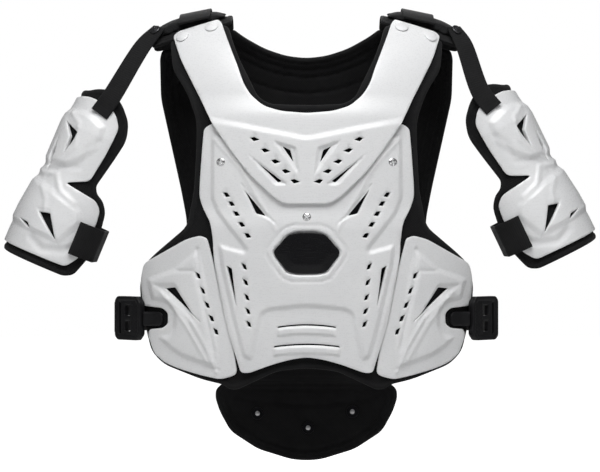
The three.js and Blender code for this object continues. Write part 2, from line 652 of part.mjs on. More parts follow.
GUARD_PLACES.forEach(([word, side, spread, drop, lean]) => {
  const place = vector(side * (PAD_INNER + PAD_WIDTH + spread), 0, -drop);
  const tilt = THREE.MathUtils.degToRad(lean);
  const down = vector(side * Math.sin(tilt), 0, -Math.cos(tilt));
  const outward = vector(side * Math.cos(tilt), 0, Math.sin(tilt));
  const forward = vector(0, -1, 0);
  // Points on the guard; the angle is signed by the side so that offsets always face out.
  const onGuard = (angle, s, offset) => {
    const turn = THREE.MathUtils.degToRad(angle * side);
    const radius = GUARD_RADIUS * lookup(GUARD_GIRTH, s) + offset;
    return place.clone()
      .addScaledVector(down, s * GUARD_LENGTH)
      .addScaledVector(outward, radius * Math.cos(turn))
      .addScaledVector(forward, radius * Math.sin(turn) * side);
  };
  // The table's [angle, s] points as the flat (u, v) of this side.
  const flat = (table) => table.map(([angle, s]) => [-side * angle, -s * GUARD_LENGTH]);
  const map = (u, v, offset) => onGuard(-side * u, -v / GUARD_LENGTH, offset);
  const angles = steps(-70, 155, 12);
  const us = side > 0 ? angles.map((a) => -a).reverse() : angles;
  const vs = GUARD_ROWS.map((s) => -s * GUARD_LENGTH).reverse();
  const guardSheet = (table, low, high) => sheet(map, us, vs, low, high)
    .intersect(cutter(map, flat(table), low - 3, high + 9, 34));

  add(`arm_liner_${word}`, guardSheet(GUARD_LINER, 0, LINER_THICKNESS), FOAM);
  const shell = cutAll(
    union([guardSheet(GUARD_SHELL, faceLow, faceHigh),
      guardSheet(GUARD_RAISED_TOP, faceHigh - 0.6, reliefHigh),
      guardSheet(GUARD_RAISED_LOW, faceHigh - 0.6, reliefHigh)]),
    GUARD_VENTS.map((table) => cutter(map, flat(table), faceLow - 3, reliefHigh + 6, 20)),
  );
  add(`arm_shell_${word}`, shell, WHITE);

  const bandLow = reliefHigh + CLEARANCE;
  const half = GUARD_BAND_WIDTH / 2;
  const bandAngles = steps(BAND_START, BAND_END, 14);
  const bandUs = side > 0 ? bandAngles.map((a) => -a).reverse() : bandAngles;
  const bandV = -BAND_LEVEL * GUARD_LENGTH;
  add(`arm_band_${word}`, sheet(map, bandUs, [bandV - half, bandV, bandV + half], bandLow,
    bandLow + WEBBING_THICKNESS), WEBBING);

  // The webbing from the shoulder to the guard, its end tab and its snap.
  const padX = PAD_INNER + PAD_WIDTH * 0.86;
  const padOut = arch(side * padX, -around(padX, -26), 1).sub(arch(side * padX, -around(padX, -26), 0));
  const strapOffset = PAD_THICKNESS + WEBBING_THICKNESS / 2 + CLEARANCE * 1.6;
  const guardOut = onGuard(84, 0.1, 1).sub(onGuard(84, 0.1, 0));
  const tabOffset = faceHigh + CLEARANCE + WEBBING_THICKNESS / 2;
  const top = arch(side * padX, -around(padX, -22), strapOffset);
  const tab = onGuard(84, 0.13, tabOffset);
  const edge = onGuard(84, 0.03, tabOffset + 0.5);
  const stops = [
    [top, padOut],
    [top.clone().lerp(edge, 0.30).addScaledVector(padOut, 8), padOut.clone().add(guardOut).normalize()],
    [edge, guardOut],
    [tab, guardOut],
  ];
  add(`arm_strap_${word}`, ribbon(stops, ARM_WEBBING_WIDTH, WEBBING_THICKNESS, 12), WEBBING);
  const spot = ribbonFrame(stops, 0.075);
  const onStrap = (u, v, offset) => spot.here.clone().addScaledVector(spot.up, offset);
  const snap = turned(onStrap, 0, 0, WEBBING_THICKNESS / 2 + CLEARANCE * 1.6, domed(SNAP_RADIUS, 2.4), 12);
  add(`arm_snap_${word}`, snap, DARK_METAL);
});

const BUCKLE_EDGE = [
  [-0.5, -0.36], [-0.36, -0.5], [0.40, -0.5], [0.5, -0.40], [0.5, 0.40], [0.40, 0.5], [-0.36, 0.5], [-0.5, 0.36],
];
const BUCKLE_WINDOWS = [[-0.10, -0.30, 0.12, -0.06], [-0.10, 0.06, 0.12, 0.30], [0.27, -0.36, 0.35, 0.36]];

// Waist fastening on each side: the tongue in the side plate's notch, the buckle and the
// webbing that runs back to the back liner.
[['left', -1, 40], ['right', 1, 28]].forEach(([word, side, bulge]) => {
  const reach = SIDE_REACH;
  const seat = side * (reach - 8);
  const hold = front(seat, WAIST_LEVEL, faceHigh + BUCKLE_THICKNESS / 2 + CLEARANCE * 1.6);
  const out = front(seat, WAIST_LEVEL, 1).sub(front(seat, WAIST_LEVEL, 0)).setZ(0).normalize();
  const along = vector(-out.y * side, out.x * side, 0);
  const notch = [0.60, 0.78].map((u) => side * (ABDOMEN_WIDTH / 2 + u * (reach - ABDOMEN_WIDTH / 2)));
  add(`waist_tongue_${word}`, ribbon([
    [front(notch[0], WAIST_LEVEL, faceLow + 2), out],
    [front(notch[1], WAIST_LEVEL, faceLow + 2.6), out],
    [hold.clone().addScaledVector(along, -2.5), out],
  ], TONGUE_WIDTH, TONGUE_THICKNESS, 5), BLACK_PLASTIC);
  const basis = new THREE.Matrix4().makeBasis(along, vector(0, 0, 1), along.clone().cross(vector(0, 0, 1)));
  basis.setPosition(hold.clone().addScaledVector(along, BUCKLE_LENGTH / 2));
  const block = (outline, depth) => {
    const shape = new THREE.Shape(outline.map(([u, v]) => new THREE.Vector2(u * BUCKLE_LENGTH, v * BUCKLE_HEIGHT)));
    const body = new THREE.ExtrudeGeometry(shape, { depth, bevelEnabled: false });
    body.translate(0, 0, -depth / 2);
    return toSolid(body.applyMatrix4(basis));
  };
  const windows = BUCKLE_WINDOWS.map(([u0, v0, u1, v1]) => block(
    [[u0, v0], [u1, v0], [u1, v1], [u0, v1]],
    BUCKLE_THICKNESS * 2,
  ));
  add(`waist_buckle_${word}`, cutAll(block(BUCKLE_EDGE, BUCKLE_THICKNESS), windows), BLACK_PLASTIC);

  const start = hold.clone().addScaledVector(along, BUCKLE_LENGTH + CLEARANCE * 3);
  const backX = BACK_WIDTH * 0.36;
  const backOut = back(-side * backX, WAIST_LEVEL, 1).sub(back(-side * backX, WAIST_LEVEL, 0));
  add(`waist_strap_${word}`, ribbon([
    [start, out],
    [vector(side * (reach + bulge), 8, WAIST_LEVEL), vector(side, 0, 0)],
    [vector(side * (reach + 14), 52, WAIST_LEVEL), vector(side, 0.7, 0)],
    [back(-side * (backX + 22), WAIST_LEVEL, faceLow + 2), backOut],
    [back(-side * backX, WAIST_LEVEL, faceLow + 1.6), backOut],
  ], WAIST_WEBBING_WIDTH, WEBBING_THICKNESS, 12), WEBBING);
});

export default object;
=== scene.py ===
import math

import bpy
import numpy as np
from bpy.props import FloatProperty, IntProperty, PointerProperty
from mathutils.geometry import delaunay_2d_cdt
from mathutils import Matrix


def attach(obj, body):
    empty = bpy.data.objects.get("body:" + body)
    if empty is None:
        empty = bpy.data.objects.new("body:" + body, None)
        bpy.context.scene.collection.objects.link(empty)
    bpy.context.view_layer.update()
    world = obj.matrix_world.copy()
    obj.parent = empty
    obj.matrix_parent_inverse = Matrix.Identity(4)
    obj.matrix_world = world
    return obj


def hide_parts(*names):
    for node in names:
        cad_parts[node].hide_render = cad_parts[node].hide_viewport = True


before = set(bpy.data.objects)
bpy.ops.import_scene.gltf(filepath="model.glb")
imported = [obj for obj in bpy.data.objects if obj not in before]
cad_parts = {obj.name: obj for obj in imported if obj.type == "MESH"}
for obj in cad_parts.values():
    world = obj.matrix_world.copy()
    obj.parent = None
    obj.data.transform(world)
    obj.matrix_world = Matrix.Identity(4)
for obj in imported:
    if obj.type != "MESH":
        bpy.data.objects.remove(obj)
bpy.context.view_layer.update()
MM = 0.001

bl_info = {
    "name": "Chest and back protector",
    "version": (1, 0, 0),
    "blender": (4, 5, 0),
    "location": "View3D > Sidebar > Protector",
    "description": "Dresses the protector's plates, liners, straps and fastenings",
    "category": "Object",
}

# Sizes in millimetres, as the frame was made.
TORSO_HALF = 212.0
FRONT_DEPTH = 122.0
BACK_DEPTH = 118.0
SHOULDER_ROUND = 150.0
SHOULDER_FALL = 16.0
ROUNDNESS = 2.2
PAD_INNER = 92.0
PAD_WIDTH = 98.0
PAD_THICKNESS, CUSHION_TOP = 12.0, 12.75
LINER_TOP = -14.0
CLEARANCE = 0.5
LINER = 7.0
PLATE = 2.5
RELIEF = 2.0
WEBBING = 2.2
ARM_WEBBING_WIDTH = 24.0
BAND_WIDTH, BAND_LEVEL, BAND_REACH = 42.0, 0.79, 0.80
BRIDGE_WIDTH = 40.0
WAIST_WEBBING_WIDTH = 38.0
TONGUE_WIDTH, TONGUE_THICKNESS = 17.0, 3.0
BUCKLE_LENGTH, BUCKLE_HEIGHT, BUCKLE_THICKNESS = 50.0, 54.0, 9.0
BACK_ANCHOR = 131.76
FACE_LOW = LINER + CLEARANCE
FACE_HIGH = FACE_LOW + PLATE
ABDOMEN_TOP = -134.0
SIDE_TOP = -268.0
CHEST = (161.0, -10.0, 221.0)
ABDOMEN = (127.0, -134.0, 300.0)
FRONT_LINER = (202.0, -14.0, 442.0)
BACK = (183.0, -10.0, 448.0)
TAIL = (117.0, -458.5, 104.0)
SIDES = (-1, 1)
WORDS = {-1: "left", 1: "right"}


def across(x):
    """Depth factor of the oval: the square root of one minus x over the half width, squared."""
    return np.sqrt(np.maximum(1.0 - (x / TORSO_HALF) ** 2, 0.01))


def fall(x):
    """Drop of the shoulder line: the fall times the squared share of the way past the pad's inner edge."""
    out = np.maximum(np.abs(x) - PAD_INNER, 0.0) / (PAD_WIDTH * 0.85)
    return SHOULDER_FALL * out ** 2


def depth_at(z, depth):
    """Depth of the body at a height: a superellipse over the shoulder, then a slow taper to the waist."""
    s = np.clip(-z / SHOULDER_ROUND, 0.002, 1.0)
    below = np.maximum(-z - SHOULDER_ROUND, 0.0) / 442.0
    return depth * (1.0 - (1.0 - s) ** ROUNDNESS) ** (1.0 / ROUNDNESS) * (1.0 - 0.18 * below ** 2)


def front_surface(x, z):
    """Front of the torso: y is minus the depth at the fallen height, times the oval's factor."""
    return np.stack([x, -depth_at(z + fall(x), FRONT_DEPTH) * across(x), z], -1)


def back_surface(x, z):
    """Back of the torso: the front's form with the back's depth, x turned over so that offsets face out."""
    return np.stack([-x, depth_at(z + fall(x), BACK_DEPTH) * across(x), z], -1)


def arch_surface(x, t):
    """Over a shoulder: t hundredths of a radian along the superellipse, front negative, back positive."""
    angle = t / 100.0
    depth = np.where(angle < 0, FRONT_DEPTH, BACK_DEPTH)
    y = np.sign(angle) * depth * np.abs(np.sin(angle)) ** (2.0 / ROUNDNESS) * across(x)
    drop = SHOULDER_ROUND * (1.0 - np.abs(np.cos(angle)) ** (2.0 / ROUNDNESS))
    return np.stack([x, y, -drop - fall(x)], -1)


def lifted(surface, u, v, offset):
    """The surface point plus the offset times the unit cross product of its two tangents."""
    h = 0.25
    du = surface(u + h, v) - surface(u - h, v)
    dv = surface(u, v + h) - surface(u, v - h)
    normal = np.cross(du, dv)
    normal /= np.linalg.norm(normal, axis=-1, keepdims=True)
    return surface(u, v) + normal * np.asarray(offset)[..., None]


def ease(t):
    """Three t squared minus two t cubed, with t held between 0 and 1."""
    s = np.clip(t, 0.0, 1.0)
    return s * s * (3.0 - 2.0 * s)


def abdomen_lift(z):
    """The main plate steps out over the side plates: a plate and a clearance, eased over 30 mm."""
    return (PLATE + CLEARANCE) * ease((SIDE_TOP + 36.0 - z) / 30.0)


def chest_lift(z):
    """The chest plate adds a plate, a clearance and the relief where it overlaps the main plate."""
    return (PLATE + CLEARANCE + RELIEF) * ease((ABDOMEN_TOP + 34.0 - z) / 30.0) + abdomen_lift(z)


def on_front(x, z, o):
    """The front's surface plus the offset along its normal."""
    return lifted(front_surface, x, z, o)


def on_back(x, z, o):
    """The back's surface plus the offset along its normal."""
    return lifted(back_surface, x, z, o)


def on_abdomen(x, z, o):
    """The front's surface plus the offset and the main plate's lift."""
    return lifted(front_surface, x, z, o + abdomen_lift(z))


def on_chest(x, z, o):
    """The front's surface plus the offset and the chest plate's lift."""
    return lifted(front_surface, x, z, o + chest_lift(z))


def on_arch(x, t, o):
    """The arch over a shoulder plus the offset along its normal."""
    return lifted(arch_surface, x, t, o)


def around(x, z):
    """The way around the shoulder, in hundredths of a radian, at which the arch reaches height z."""
    level = np.minimum(1.0 + (z + fall(x)) / SHOULDER_ROUND, 1.0)
    return 100.0 * np.arccos(level ** (ROUNDNESS / 2.0))


GUARD_LENGTH = 235.0
GUARD_RADIUS = 54.0
GUARD_TILT = {-1: math.radians(23.0), 1: math.radians(26.0)}
GUARD_GIRTH = np.array([[0, 0.70], [0.143, 0.75], [0.25, 0.82], [0.50, 0.82], [0.61, 0.90], [0.74, 0.97],
                        [0.88, 1], [1, 1]])
GUARD_PLACES = {-1: np.array([-231.0, 0.0, -93.0]), 1: np.array([205.0, 0.0, -88.0])}


def on_guard(side):
    """A tapered half pipe: along the tilted arm by s, and around it by the angle from its outermost line."""
    tilt = GUARD_TILT[side]
    down = np.array([side * math.sin(tilt), 0.0, -math.cos(tilt)])
    outward = np.array([side * math.cos(tilt), 0.0, math.sin(tilt)])
    forward = np.array([0.0, -1.0, 0.0])

    def carry(u, v, o):
        angle = np.radians(-side * u)
        s = -v / GUARD_LENGTH
        radius = GUARD_RADIUS * np.interp(s, GUARD_GIRTH[:, 0], GUARD_GIRTH[:, 1]) + o
        return (GUARD_PLACES[side] + (s * GUARD_LENGTH)[..., None] * down
                + (radius * np.cos(angle))[..., None] * outward
                + (radius * np.sin(angle))[..., None] * forward)
    return carry


def flat_guard(side, table):
    """The guard table's angle and length share as the flat coordinates of that side."""
    t = np.array(table, float)
    return np.stack([-side * t[:, 0], -t[:, 1] * GUARD_LENGTH], -1)


def place(table, size):
    """Shares of a half width and a height, down from a top, as millimetres."""
    half, top, height = size
    t = np.array(table, float)
    return np.stack([t[:, 0] * half, top - t[:, 1] * height], -1)


def mirror(points):
    """The points with x negated, in reverse order."""
    return np.array(points)[::-1] * [-1.0, 1.0]


def both(points):
    """A half outline closed by its mirror image, without doubling the points on the middle."""
    points = np.array(points)
    other = mirror(points)
    return np.concatenate([points, other[np.abs(other[:, 0]) > 1e-6]])


def rounded(points, radius, count=5):
    """Each corner swapped for a quadratic curve that leaves its two edges at most a radius away."""
    p = np.array(points, float)
    before, after = np.roll(p, 1, 0) - p, np.roll(p, -1, 0) - p
    lb, la = np.linalg.norm(before, axis=1), np.linalg.norm(after, axis=1)
    cut = np.minimum(radius, 0.42 * np.minimum(lb, la))
    a = p + before / lb[:, None] * cut[:, None]
    c = p + after / la[:, None] * cut[:, None]
    t = np.linspace(0.0, 1.0, count)[None, :, None]
    curve = (1 - t) ** 2 * a[:, None] + 2 * t * (1 - t) * p[:, None] + t ** 2 * c[:, None]
    return curve.reshape(-1, 2)


def signed(points, outline):
    """Distance to the outline, positive inside it, for many points at once."""
    p = np.asarray(points)
    a = np.asarray(outline)
    b = np.roll(a, -1, 0)
    best = np.full(len(p), 1e9)
    inside = np.zeros(len(p), bool)
    for start in range(0, len(a), 64):
        a0, b0 = a[start:start + 64], b[start:start + 64]
        ab = b0 - a0
        ap = p[:, None] - a0[None]
        t = np.clip((ap * ab).sum(-1) / np.maximum((ab * ab).sum(-1), 1e-12), 0, 1)
        d = np.linalg.norm(ap - t[..., None] * ab, axis=-1)
        best = np.minimum(best, d.min(1))
        crosses = (a0[None, :, 1] > p[:, None, 1]) != (b0[None, :, 1] > p[:, None, 1])
        rise = np.where(np.abs(ab[:, 1]) < 1e-12, 1e-12, ab[:, 1])
        xs = a0[None, :, 0] + (p[:, None, 1] - a0[None, :, 1]) / rise * ab[None, :, 0]
        inside ^= (crosses & (p[:, None, 0] < xs)).sum(1) % 2 == 1
    return np.where(inside, best, -best)


def inset(points, distance):
    """The outline moved inwards along its own normals."""
    p = np.asarray(points)
    along = np.roll(p, -1, 0) - np.roll(p, 1, 0)
    area = np.sum(p[:, 0] * np.roll(p[:, 1], -1) - np.roll(p[:, 0], -1) * p[:, 1])
    normal = np.stack([-along[:, 1], along[:, 0]], -1) * np.sign(area)
    normal /= np.maximum(np.linalg.norm(normal, axis=1, keepdims=True), 1e-9)
    return p + normal * distance


def dense(points, step):
    """The closed outline with its corners kept and its long edges cut to the given step."""
    p = np.asarray(points, float)
    q = np.roll(p, -1, 0)
    counts = np.maximum(np.ceil(np.linalg.norm(q - p, axis=1) / step).astype(int), 1)
    start = np.repeat(np.arange(len(p)), counts)
    share = np.concatenate([np.arange(n) / n for n in counts])[:, None]
    return p[start] * (1.0 - share) + q[start] * share


def lattice(lo, hi, step):
    """A triangular lattice over a rectangle: rows a step times 0.866 apart, each second row shifted."""
    xs = np.arange(lo[0], hi[0] + step, step)
    ys = np.arange(lo[1], hi[1] + step, step * 0.866)
    x, y = np.meshgrid(xs, ys)
    x = x + (np.arange(len(ys)) % 2)[:, None] * step * 0.5
    return np.stack([x.ravel(), y.ravel()], -1)


def to_line(points, line):
    """Distance from many points to an open chain of straight runs."""
    a, b = np.asarray(line[:-1], float), np.asarray(line[1:], float)
    ab = b - a
    ap = points[:, None] - a[None]
    t = np.clip((ap * ab).sum(-1) / np.maximum((ab * ab).sum(-1), 1e-12), 0, 1)
    return np.linalg.norm(ap - t[..., None] * ab, axis=-1).min(1)


def relief(points, features):
    """Sum of the features' heights: a field rises along a nearly straight bevel, a line is a
    rounded ridge (or groove) that fades with the square of the distance from it."""
    height = np.zeros(len(points))
    for kind, shape, rise, width in features:
        if kind == "field":
            share = np.clip(signed(points, shape) / width, 0.0, 1.0)
            height += rise * (0.75 * share + 0.25 * ease(share))
        else:
            near = np.clip(1.0 - to_line(points, shape) / width, 0.0, 1.0)
            height += rise * near * near * (3.0 - 2.0 * near)
    return height


def make_object(name, verts, faces, uv=None, extra=None):
    """An object at the origin with smooth faces, its own flat coordinates and any point attributes."""
    mesh = bpy.data.meshes.new(name)
    mesh.from_pydata((np.asarray(verts) * MM).tolist(), [], faces)
    mesh.polygons.foreach_set("use_smooth", np.ones(len(mesh.polygons), bool))
    if uv is not None:
        layer = mesh.uv_layers.new(name="flat")
        index = np.empty(len(mesh.loops), np.int32)
        mesh.loops.foreach_get("vertex_index", index)
        layer.data.foreach_set("uv", (np.asarray(uv)[index] * MM).astype(np.float32).ravel())
    for key, values in (extra or {}).items():
        mesh.attributes.new(key, "FLOAT", "POINT").data.foreach_set("value", np.asarray(values, np.float32))
    mesh.validate()
    mesh.update()
    obj = bpy.data.objects.new(name, mesh)
    bpy.context.scene.collection.objects.link(obj)
    return obj


def tube(rings, count):
    """Faces of a tube of rings of points: quads between each ring and the next, and two ends."""
    i, j = np.meshgrid(np.arange(rings - 1) * count, np.arange(count), indexing="ij")
    k = (j + 1) % count
    quads = np.stack([i + j, i + k, i + count + k, i + count + j], -1).reshape(-1, 4)
    return quads.tolist() + [list(range(count))[::-1], list(range((rings - 1) * count, rings * count))]


def filled(outline, holes, loops, step, reach):
    """Points and triangles of an outline with holes: the borders, loops beside them, the given loops and
    a lattice are thinned and joined into triangles, and those outside are left out. Also returned: how
    far each point lies from the nearest border."""
    borders = [dense(outline, step)] + [dense(h, step * 0.7) for h in holes]
    links, count = [], 0
    for loop in borders:
        i = np.arange(len(loop))
        links.append(np.stack([i, np.roll(i, -1)], -1) + count)
        count += len(loop)

    def depth(points):
        return np.min([signed(points, outline)] + [-signed(points, h) for h in holes], axis=0)

    beside = [inset(loop, reach * share * (1 if k == 0 else -1))
              for share in (0.12, 0.42, 1.0) for k, loop in enumerate(borders)]
    extra = np.concatenate(beside + loops)
    extra = extra[depth(extra) > reach * 0.1]
    grid = lattice(outline.min(0), outline.max(0), step)
    loose = np.concatenate([extra, grid[depth(grid) > reach + 0.35 * step]])
    cells = {}
    for n, cell in enumerate(np.round(loose / (step * 0.34)).astype(int).tolist()):
        cells.setdefault(tuple(cell), n)
    flat = np.concatenate(borders + [loose[list(cells.values())]])
    out = delaunay_2d_cdt([tuple(p) for p in flat], np.concatenate(links).tolist(), [], 0, 1e-4)
    points = np.array([tuple(v) for v in out[0]])
    tris = np.array([f for f in out[2] if len(f) == 3])
    tris = tris[depth(points[tris].mean(1)) > 0]
    used, order = np.unique(tris, return_inverse=True)
    points, tris = points[used], order.reshape(-1, 3)
    corners = points[tris]
    turn = np.cross(corners[:, 1] - corners[:, 0], corners[:, 2] - corners[:, 0])
    tris[turn < 0] = tris[turn < 0][:, ::-1]
    return points, tris, np.maximum(depth(points), 0.0)


def traced(kind, shape, width, step):
    """Loops that give a feature its mesh points: a field's border and the foot of its slope, or the run
    of a line."""
    if kind == "field":
        loop = dense(shape, step)
        return [loop, inset(loop, width)]
    line = np.asarray(shape, float)
    way = np.concatenate([[0.0], np.cumsum(np.linalg.norm(np.diff(line, axis=0), axis=1))])
    at_ways = np.linspace(0, way[-1], max(int(way[-1] / step), 2))
    return [np.stack([np.interp(at_ways, way, line[:, 0]), np.interp(at_ways, way, line[:, 1])], -1)]


def plate(name, outline, carry, low, high, holes=(), features=(), step=2.6, edge=0.9, soft=0.0, inner=()):
    """A sheet filled from its outline. The top lies at high plus the relief, and drops by a quarter
    circle of radius edge beside every border; the bottom lies at low plus the inner features, rising by
    a quarter circle of radius soft. Both are carried onto the form."""
    loops = [loop for kind, shape, _rise, width in list(features) + list(inner)
             for loop in traced(kind, shape, width, step)]
    points, tris, d = filled(np.asarray(outline, float), holes, loops, step, max(edge, soft))

    def quarter(radius):
        return radius - np.sqrt(np.maximum(radius ** 2 - np.maximum(radius - d, 0.0) ** 2, 0.0))

    rise = relief(points, features)
    top = high + rise - quarter(edge)
    bottom = np.minimum(low + relief(points, inner) + quarter(soft), top - 0.3)
    u, v = points.T
    n = len(points)
    sides = np.concatenate([tris[:, [0, 1]], tris[:, [1, 2]], tris[:, [2, 0]]])
    code = sides[:, 0] * n + sides[:, 1]
    lone = sides[~np.isin(code, sides[:, 1] * n + sides[:, 0])]
    walls = np.stack([lone[:, 1], lone[:, 0], lone[:, 0] + n, lone[:, 1] + n], -1)
    faces = tris.tolist() + (tris[:, ::-1] + n).tolist() + walls.tolist()
    # The first mark, how far a point lies below the full height, darkens the mouldings as painted shade.
    # The second mark fades over 1.4 mm from every border; the mouldings lighten with it as a painted
    # highlight.
    marks = {"dip": np.tile(np.clip(-rise / 2.0, 0.0, 1.0), 2), "border_highlight": np.tile(np.exp(-d / 1.4), 2)}
    verts = np.concatenate([carry(u, v, top), carry(u, v, bottom)])
    return make_object(name, verts, faces, np.tile(points, (2, 1)), marks)


def band(name, points, wide, up, width, thickness, across_count=8, taper=None):
    """A strap: along its route a flattened ring is carried, points plus the width share times wide plus
    the thickness share times up; the ring is a rounded rectangle whose edges are half circles."""
    points, wide, up = (np.asarray(a, float) for a in (points, wide, up))
    s = np.linspace(-1.0, 1.0, across_count + 1)
    edge = thickness / width
    xs = s * (1.0 - edge)
    ys = np.full(len(s), 0.5)
    arc = np.linspace(math.pi / 2, -math.pi / 2, 5)[1:-1]
    cap_x = (1.0 - edge) + edge * np.cos(arc)
    cap_y = 0.5 * np.sin(arc)
    ring_x = np.concatenate([xs, cap_x, xs[::-1], -cap_x[::-1]]) * 0.5
    ring_y = np.concatenate([ys, cap_y, -ys, cap_y[::-1]])
    count, ring = len(points), len(ring_x)
    widths = np.full(count, float(width)) if taper is None else np.asarray(taper) * width
    verts = (points[:, None] + wide[:, None] * (ring_x[None, :, None] * widths[:, None, None])
             + up[:, None] * (ring_y[None, :, None] * thickness))
    way = np.concatenate([[0.0], np.cumsum(np.linalg.norm(np.diff(points, axis=0), axis=1))])
    uv = np.stack([np.broadcast_to(ring_x * width, (count, ring)),
                   np.broadcast_to(way[:, None], (count, ring))], -1).reshape(-1, 2)
    faces = tube(count, ring)
    middle = verts.reshape(count, ring, 3)
    probe = np.cross(middle[1, 1] - middle[0, 1], middle[0, 2] - middle[0, 1])
    if np.dot(probe, up[0]) > 0:
        faces = [f[::-1] for f in faces]
    return make_object(name, verts.reshape(-1, 3), faces, uv)


def turned(name, foot, up, profile, sides=40):
    """A turned piece: the profile's radius and height swept around the upward axis at the foot. The
    attribute reach holds each point's radius in centimetres."""
    foot, up = np.asarray(foot, float), np.asarray(up, float)
    up = up / np.linalg.norm(up)
    side = np.cross(up, [0.0, 0.0, 1.0] if abs(up[2]) < 0.9 else [1.0, 0.0, 0.0])
    side /= np.linalg.norm(side)
    other = np.cross(up, side)
    r, h = np.array(profile, float).T
    a = np.linspace(0, 2 * math.pi, sides, endpoint=False)
    verts = (foot + r[:, None, None] * (np.cos(a)[None, :, None] * side + np.sin(a)[None, :, None] * other)
             + h[:, None, None] * up).reshape(-1, 3)
    return make_object(name, verts, tube(len(r), sides), extra={"reach": np.repeat(r * 0.1, sides)})


def route(stops, count):
    """A centripetal Catmull-Rom curve through the stops, with its frames: the outward directions mixed
    along the way, and the width across both the outward direction and the run."""
    pts = np.array([s[0] for s in stops], float)
    outs = np.array([s[1] for s in stops], float)
    ext = np.vstack([2 * pts[0] - pts[1], pts, 2 * pts[-1] - pts[-2]])
    knots = np.concatenate([[0.0], np.cumsum(np.sqrt(np.linalg.norm(np.diff(ext, axis=0), axis=1)))])
    spans = len(pts) - 1
    share = np.linspace(0.0, spans, count)
    slot = np.minimum(share.astype(int), spans - 1)
    f = share - slot
    p0, p1, p2, p3 = (ext[slot + k] for k in range(4))
    t0, t1, t2, t3 = (knots[slot + k] for k in range(4))
    t = (t1 + f * (t2 - t1))[:, None]
    t0, t1, t2, t3 = (k[:, None] for k in (t0, t1, t2, t3))
    a1 = (t1 - t) / (t1 - t0) * p0 + (t - t0) / (t1 - t0) * p1
    a2 = (t2 - t) / (t2 - t1) * p1 + (t - t1) / (t2 - t1) * p2
    a3 = (t3 - t) / (t3 - t2) * p2 + (t - t2) / (t3 - t2) * p3
    b1 = (t2 - t) / (t2 - t0) * a1 + (t - t0) / (t2 - t0) * a2
    b2 = (t3 - t) / (t3 - t1) * a2 + (t - t1) / (t3 - t1) * a3
    points = (t2 - t) / (t2 - t1) * b1 + (t - t1) / (t2 - t1) * b2
    out = outs[slot] * (1 - f)[:, None] + outs[slot + 1] * f[:, None]
    run = np.gradient(points, axis=0)
    wide = np.cross(out, run)
    wide /= np.linalg.norm(wide, axis=1, keepdims=True)
    up = np.cross(run, wide)
    up /= np.linalg.norm(up, axis=1, keepdims=True)
    return points, wide, up


class Shader:
    """A material with one shader, and short ways to add nodes and join them."""

    def __init__(self, name, color, rough, **sockets):
        self.material = bpy.data.materials.new(name)
        self.material.use_nodes = True
        self.tree = self.material.node_tree
        self.main = self.tree.nodes["Principled BSDF"]
        self.main.inputs["Base Color"].default_value = (*color, 1.0)
        self.main.inputs["Roughness"].default_value = rough
        for key, value in sockets.items():
            self.main.inputs[key.replace("_", " ")].default_value = value
        self.here = self.add("ShaderNodeTexCoord").outputs["Object"]

    def add(self, kind, settings=None, **inputs):
        """A node with its settings, its inputs set or joined by name."""
        node = self.tree.nodes.new(kind)
        for key, value in (settings or {}).items():
            setattr(node, key, value)
        for key, value in inputs.items():
            self.feed(node.inputs[key.replace("_", " ")], value)
        return node

    def feed(self, socket, value):
        """Join an output to the socket, or set the socket's value."""
        if hasattr(value, "is_output"):
            self.tree.links.new(value, socket)
        else:
            socket.default_value = value

    def join(self, source, key):
        """Join an output to the main shader."""
        self.tree.links.new(source, self.main.inputs[key])

    def ramp(self, source, low, dark, high, light):
        """A tone that goes from dark at low to light at high."""
        node = self.add("ShaderNodeValToRGB", Fac=source)
        for point, at, value in zip(node.color_ramp.elements, (low, high), (dark, light)):
            point.position = at
            point.color = (*value, 1.0)
        return node.outputs["Color"]

    def span(self, source, low, high, start=0.0, end=1.0):
        """The source's span from start to end carried onto low to high, and held there."""
        return self.add("ShaderNodeMapRange", Value=source, From_Min=start, From_Max=end, To_Min=low,
                        To_Max=high).outputs["Result"]

    def bump(self, source, strength, distance, below=None):
        """A bump normal, on top of another one where it is given."""
        node = self.add("ShaderNodeBump", Height=source, Strength=strength, Distance=distance)
        if below is not None:
            self.feed(node.inputs["Normal"], below)
        return node.outputs["Normal"]

    def blend(self, share, below, above):
        """Two tones mixed by the share of the second."""
        node = self.add("ShaderNodeMix", {"data_type": "RGBA"}, Factor=share)
        for socket, value in zip((node.inputs[6], node.inputs[7]), (below, above)):
            self.feed(socket, value if hasattr(value, "is_output") else (*value, 1.0))
        return node.outputs[2]

    def math(self, way, one, other):
        """Two values combined."""
        node = self.add("ShaderNodeMath", {"operation": way})
        self.feed(node.inputs[0], one)
        self.feed(node.inputs[1], other)
        return node.outputs[0]

    def noise(self, scale, detail, rough=0.5, source=None):
        """Cloudy noise."""
        return self.add("ShaderNodeTexNoise", Vector=source or self.here, Scale=scale, Detail=detail,
                        Roughness=rough).outputs["Fac"]

    def stretched(self, scale, rotation=(0.0, 0.0, 0.0)):
        """Noise drawn out into fibres by unequal scales."""
        turn = self.add("ShaderNodeMapping", Vector=self.here, Rotation=rotation, Scale=scale)
        return self.noise(1.0, 2.0, source=turn.outputs[0])

    def named(self, key):
        """A point attribute."""
        return self.add("ShaderNodeAttribute", {"attribute_name": key}).outputs["Fac"]


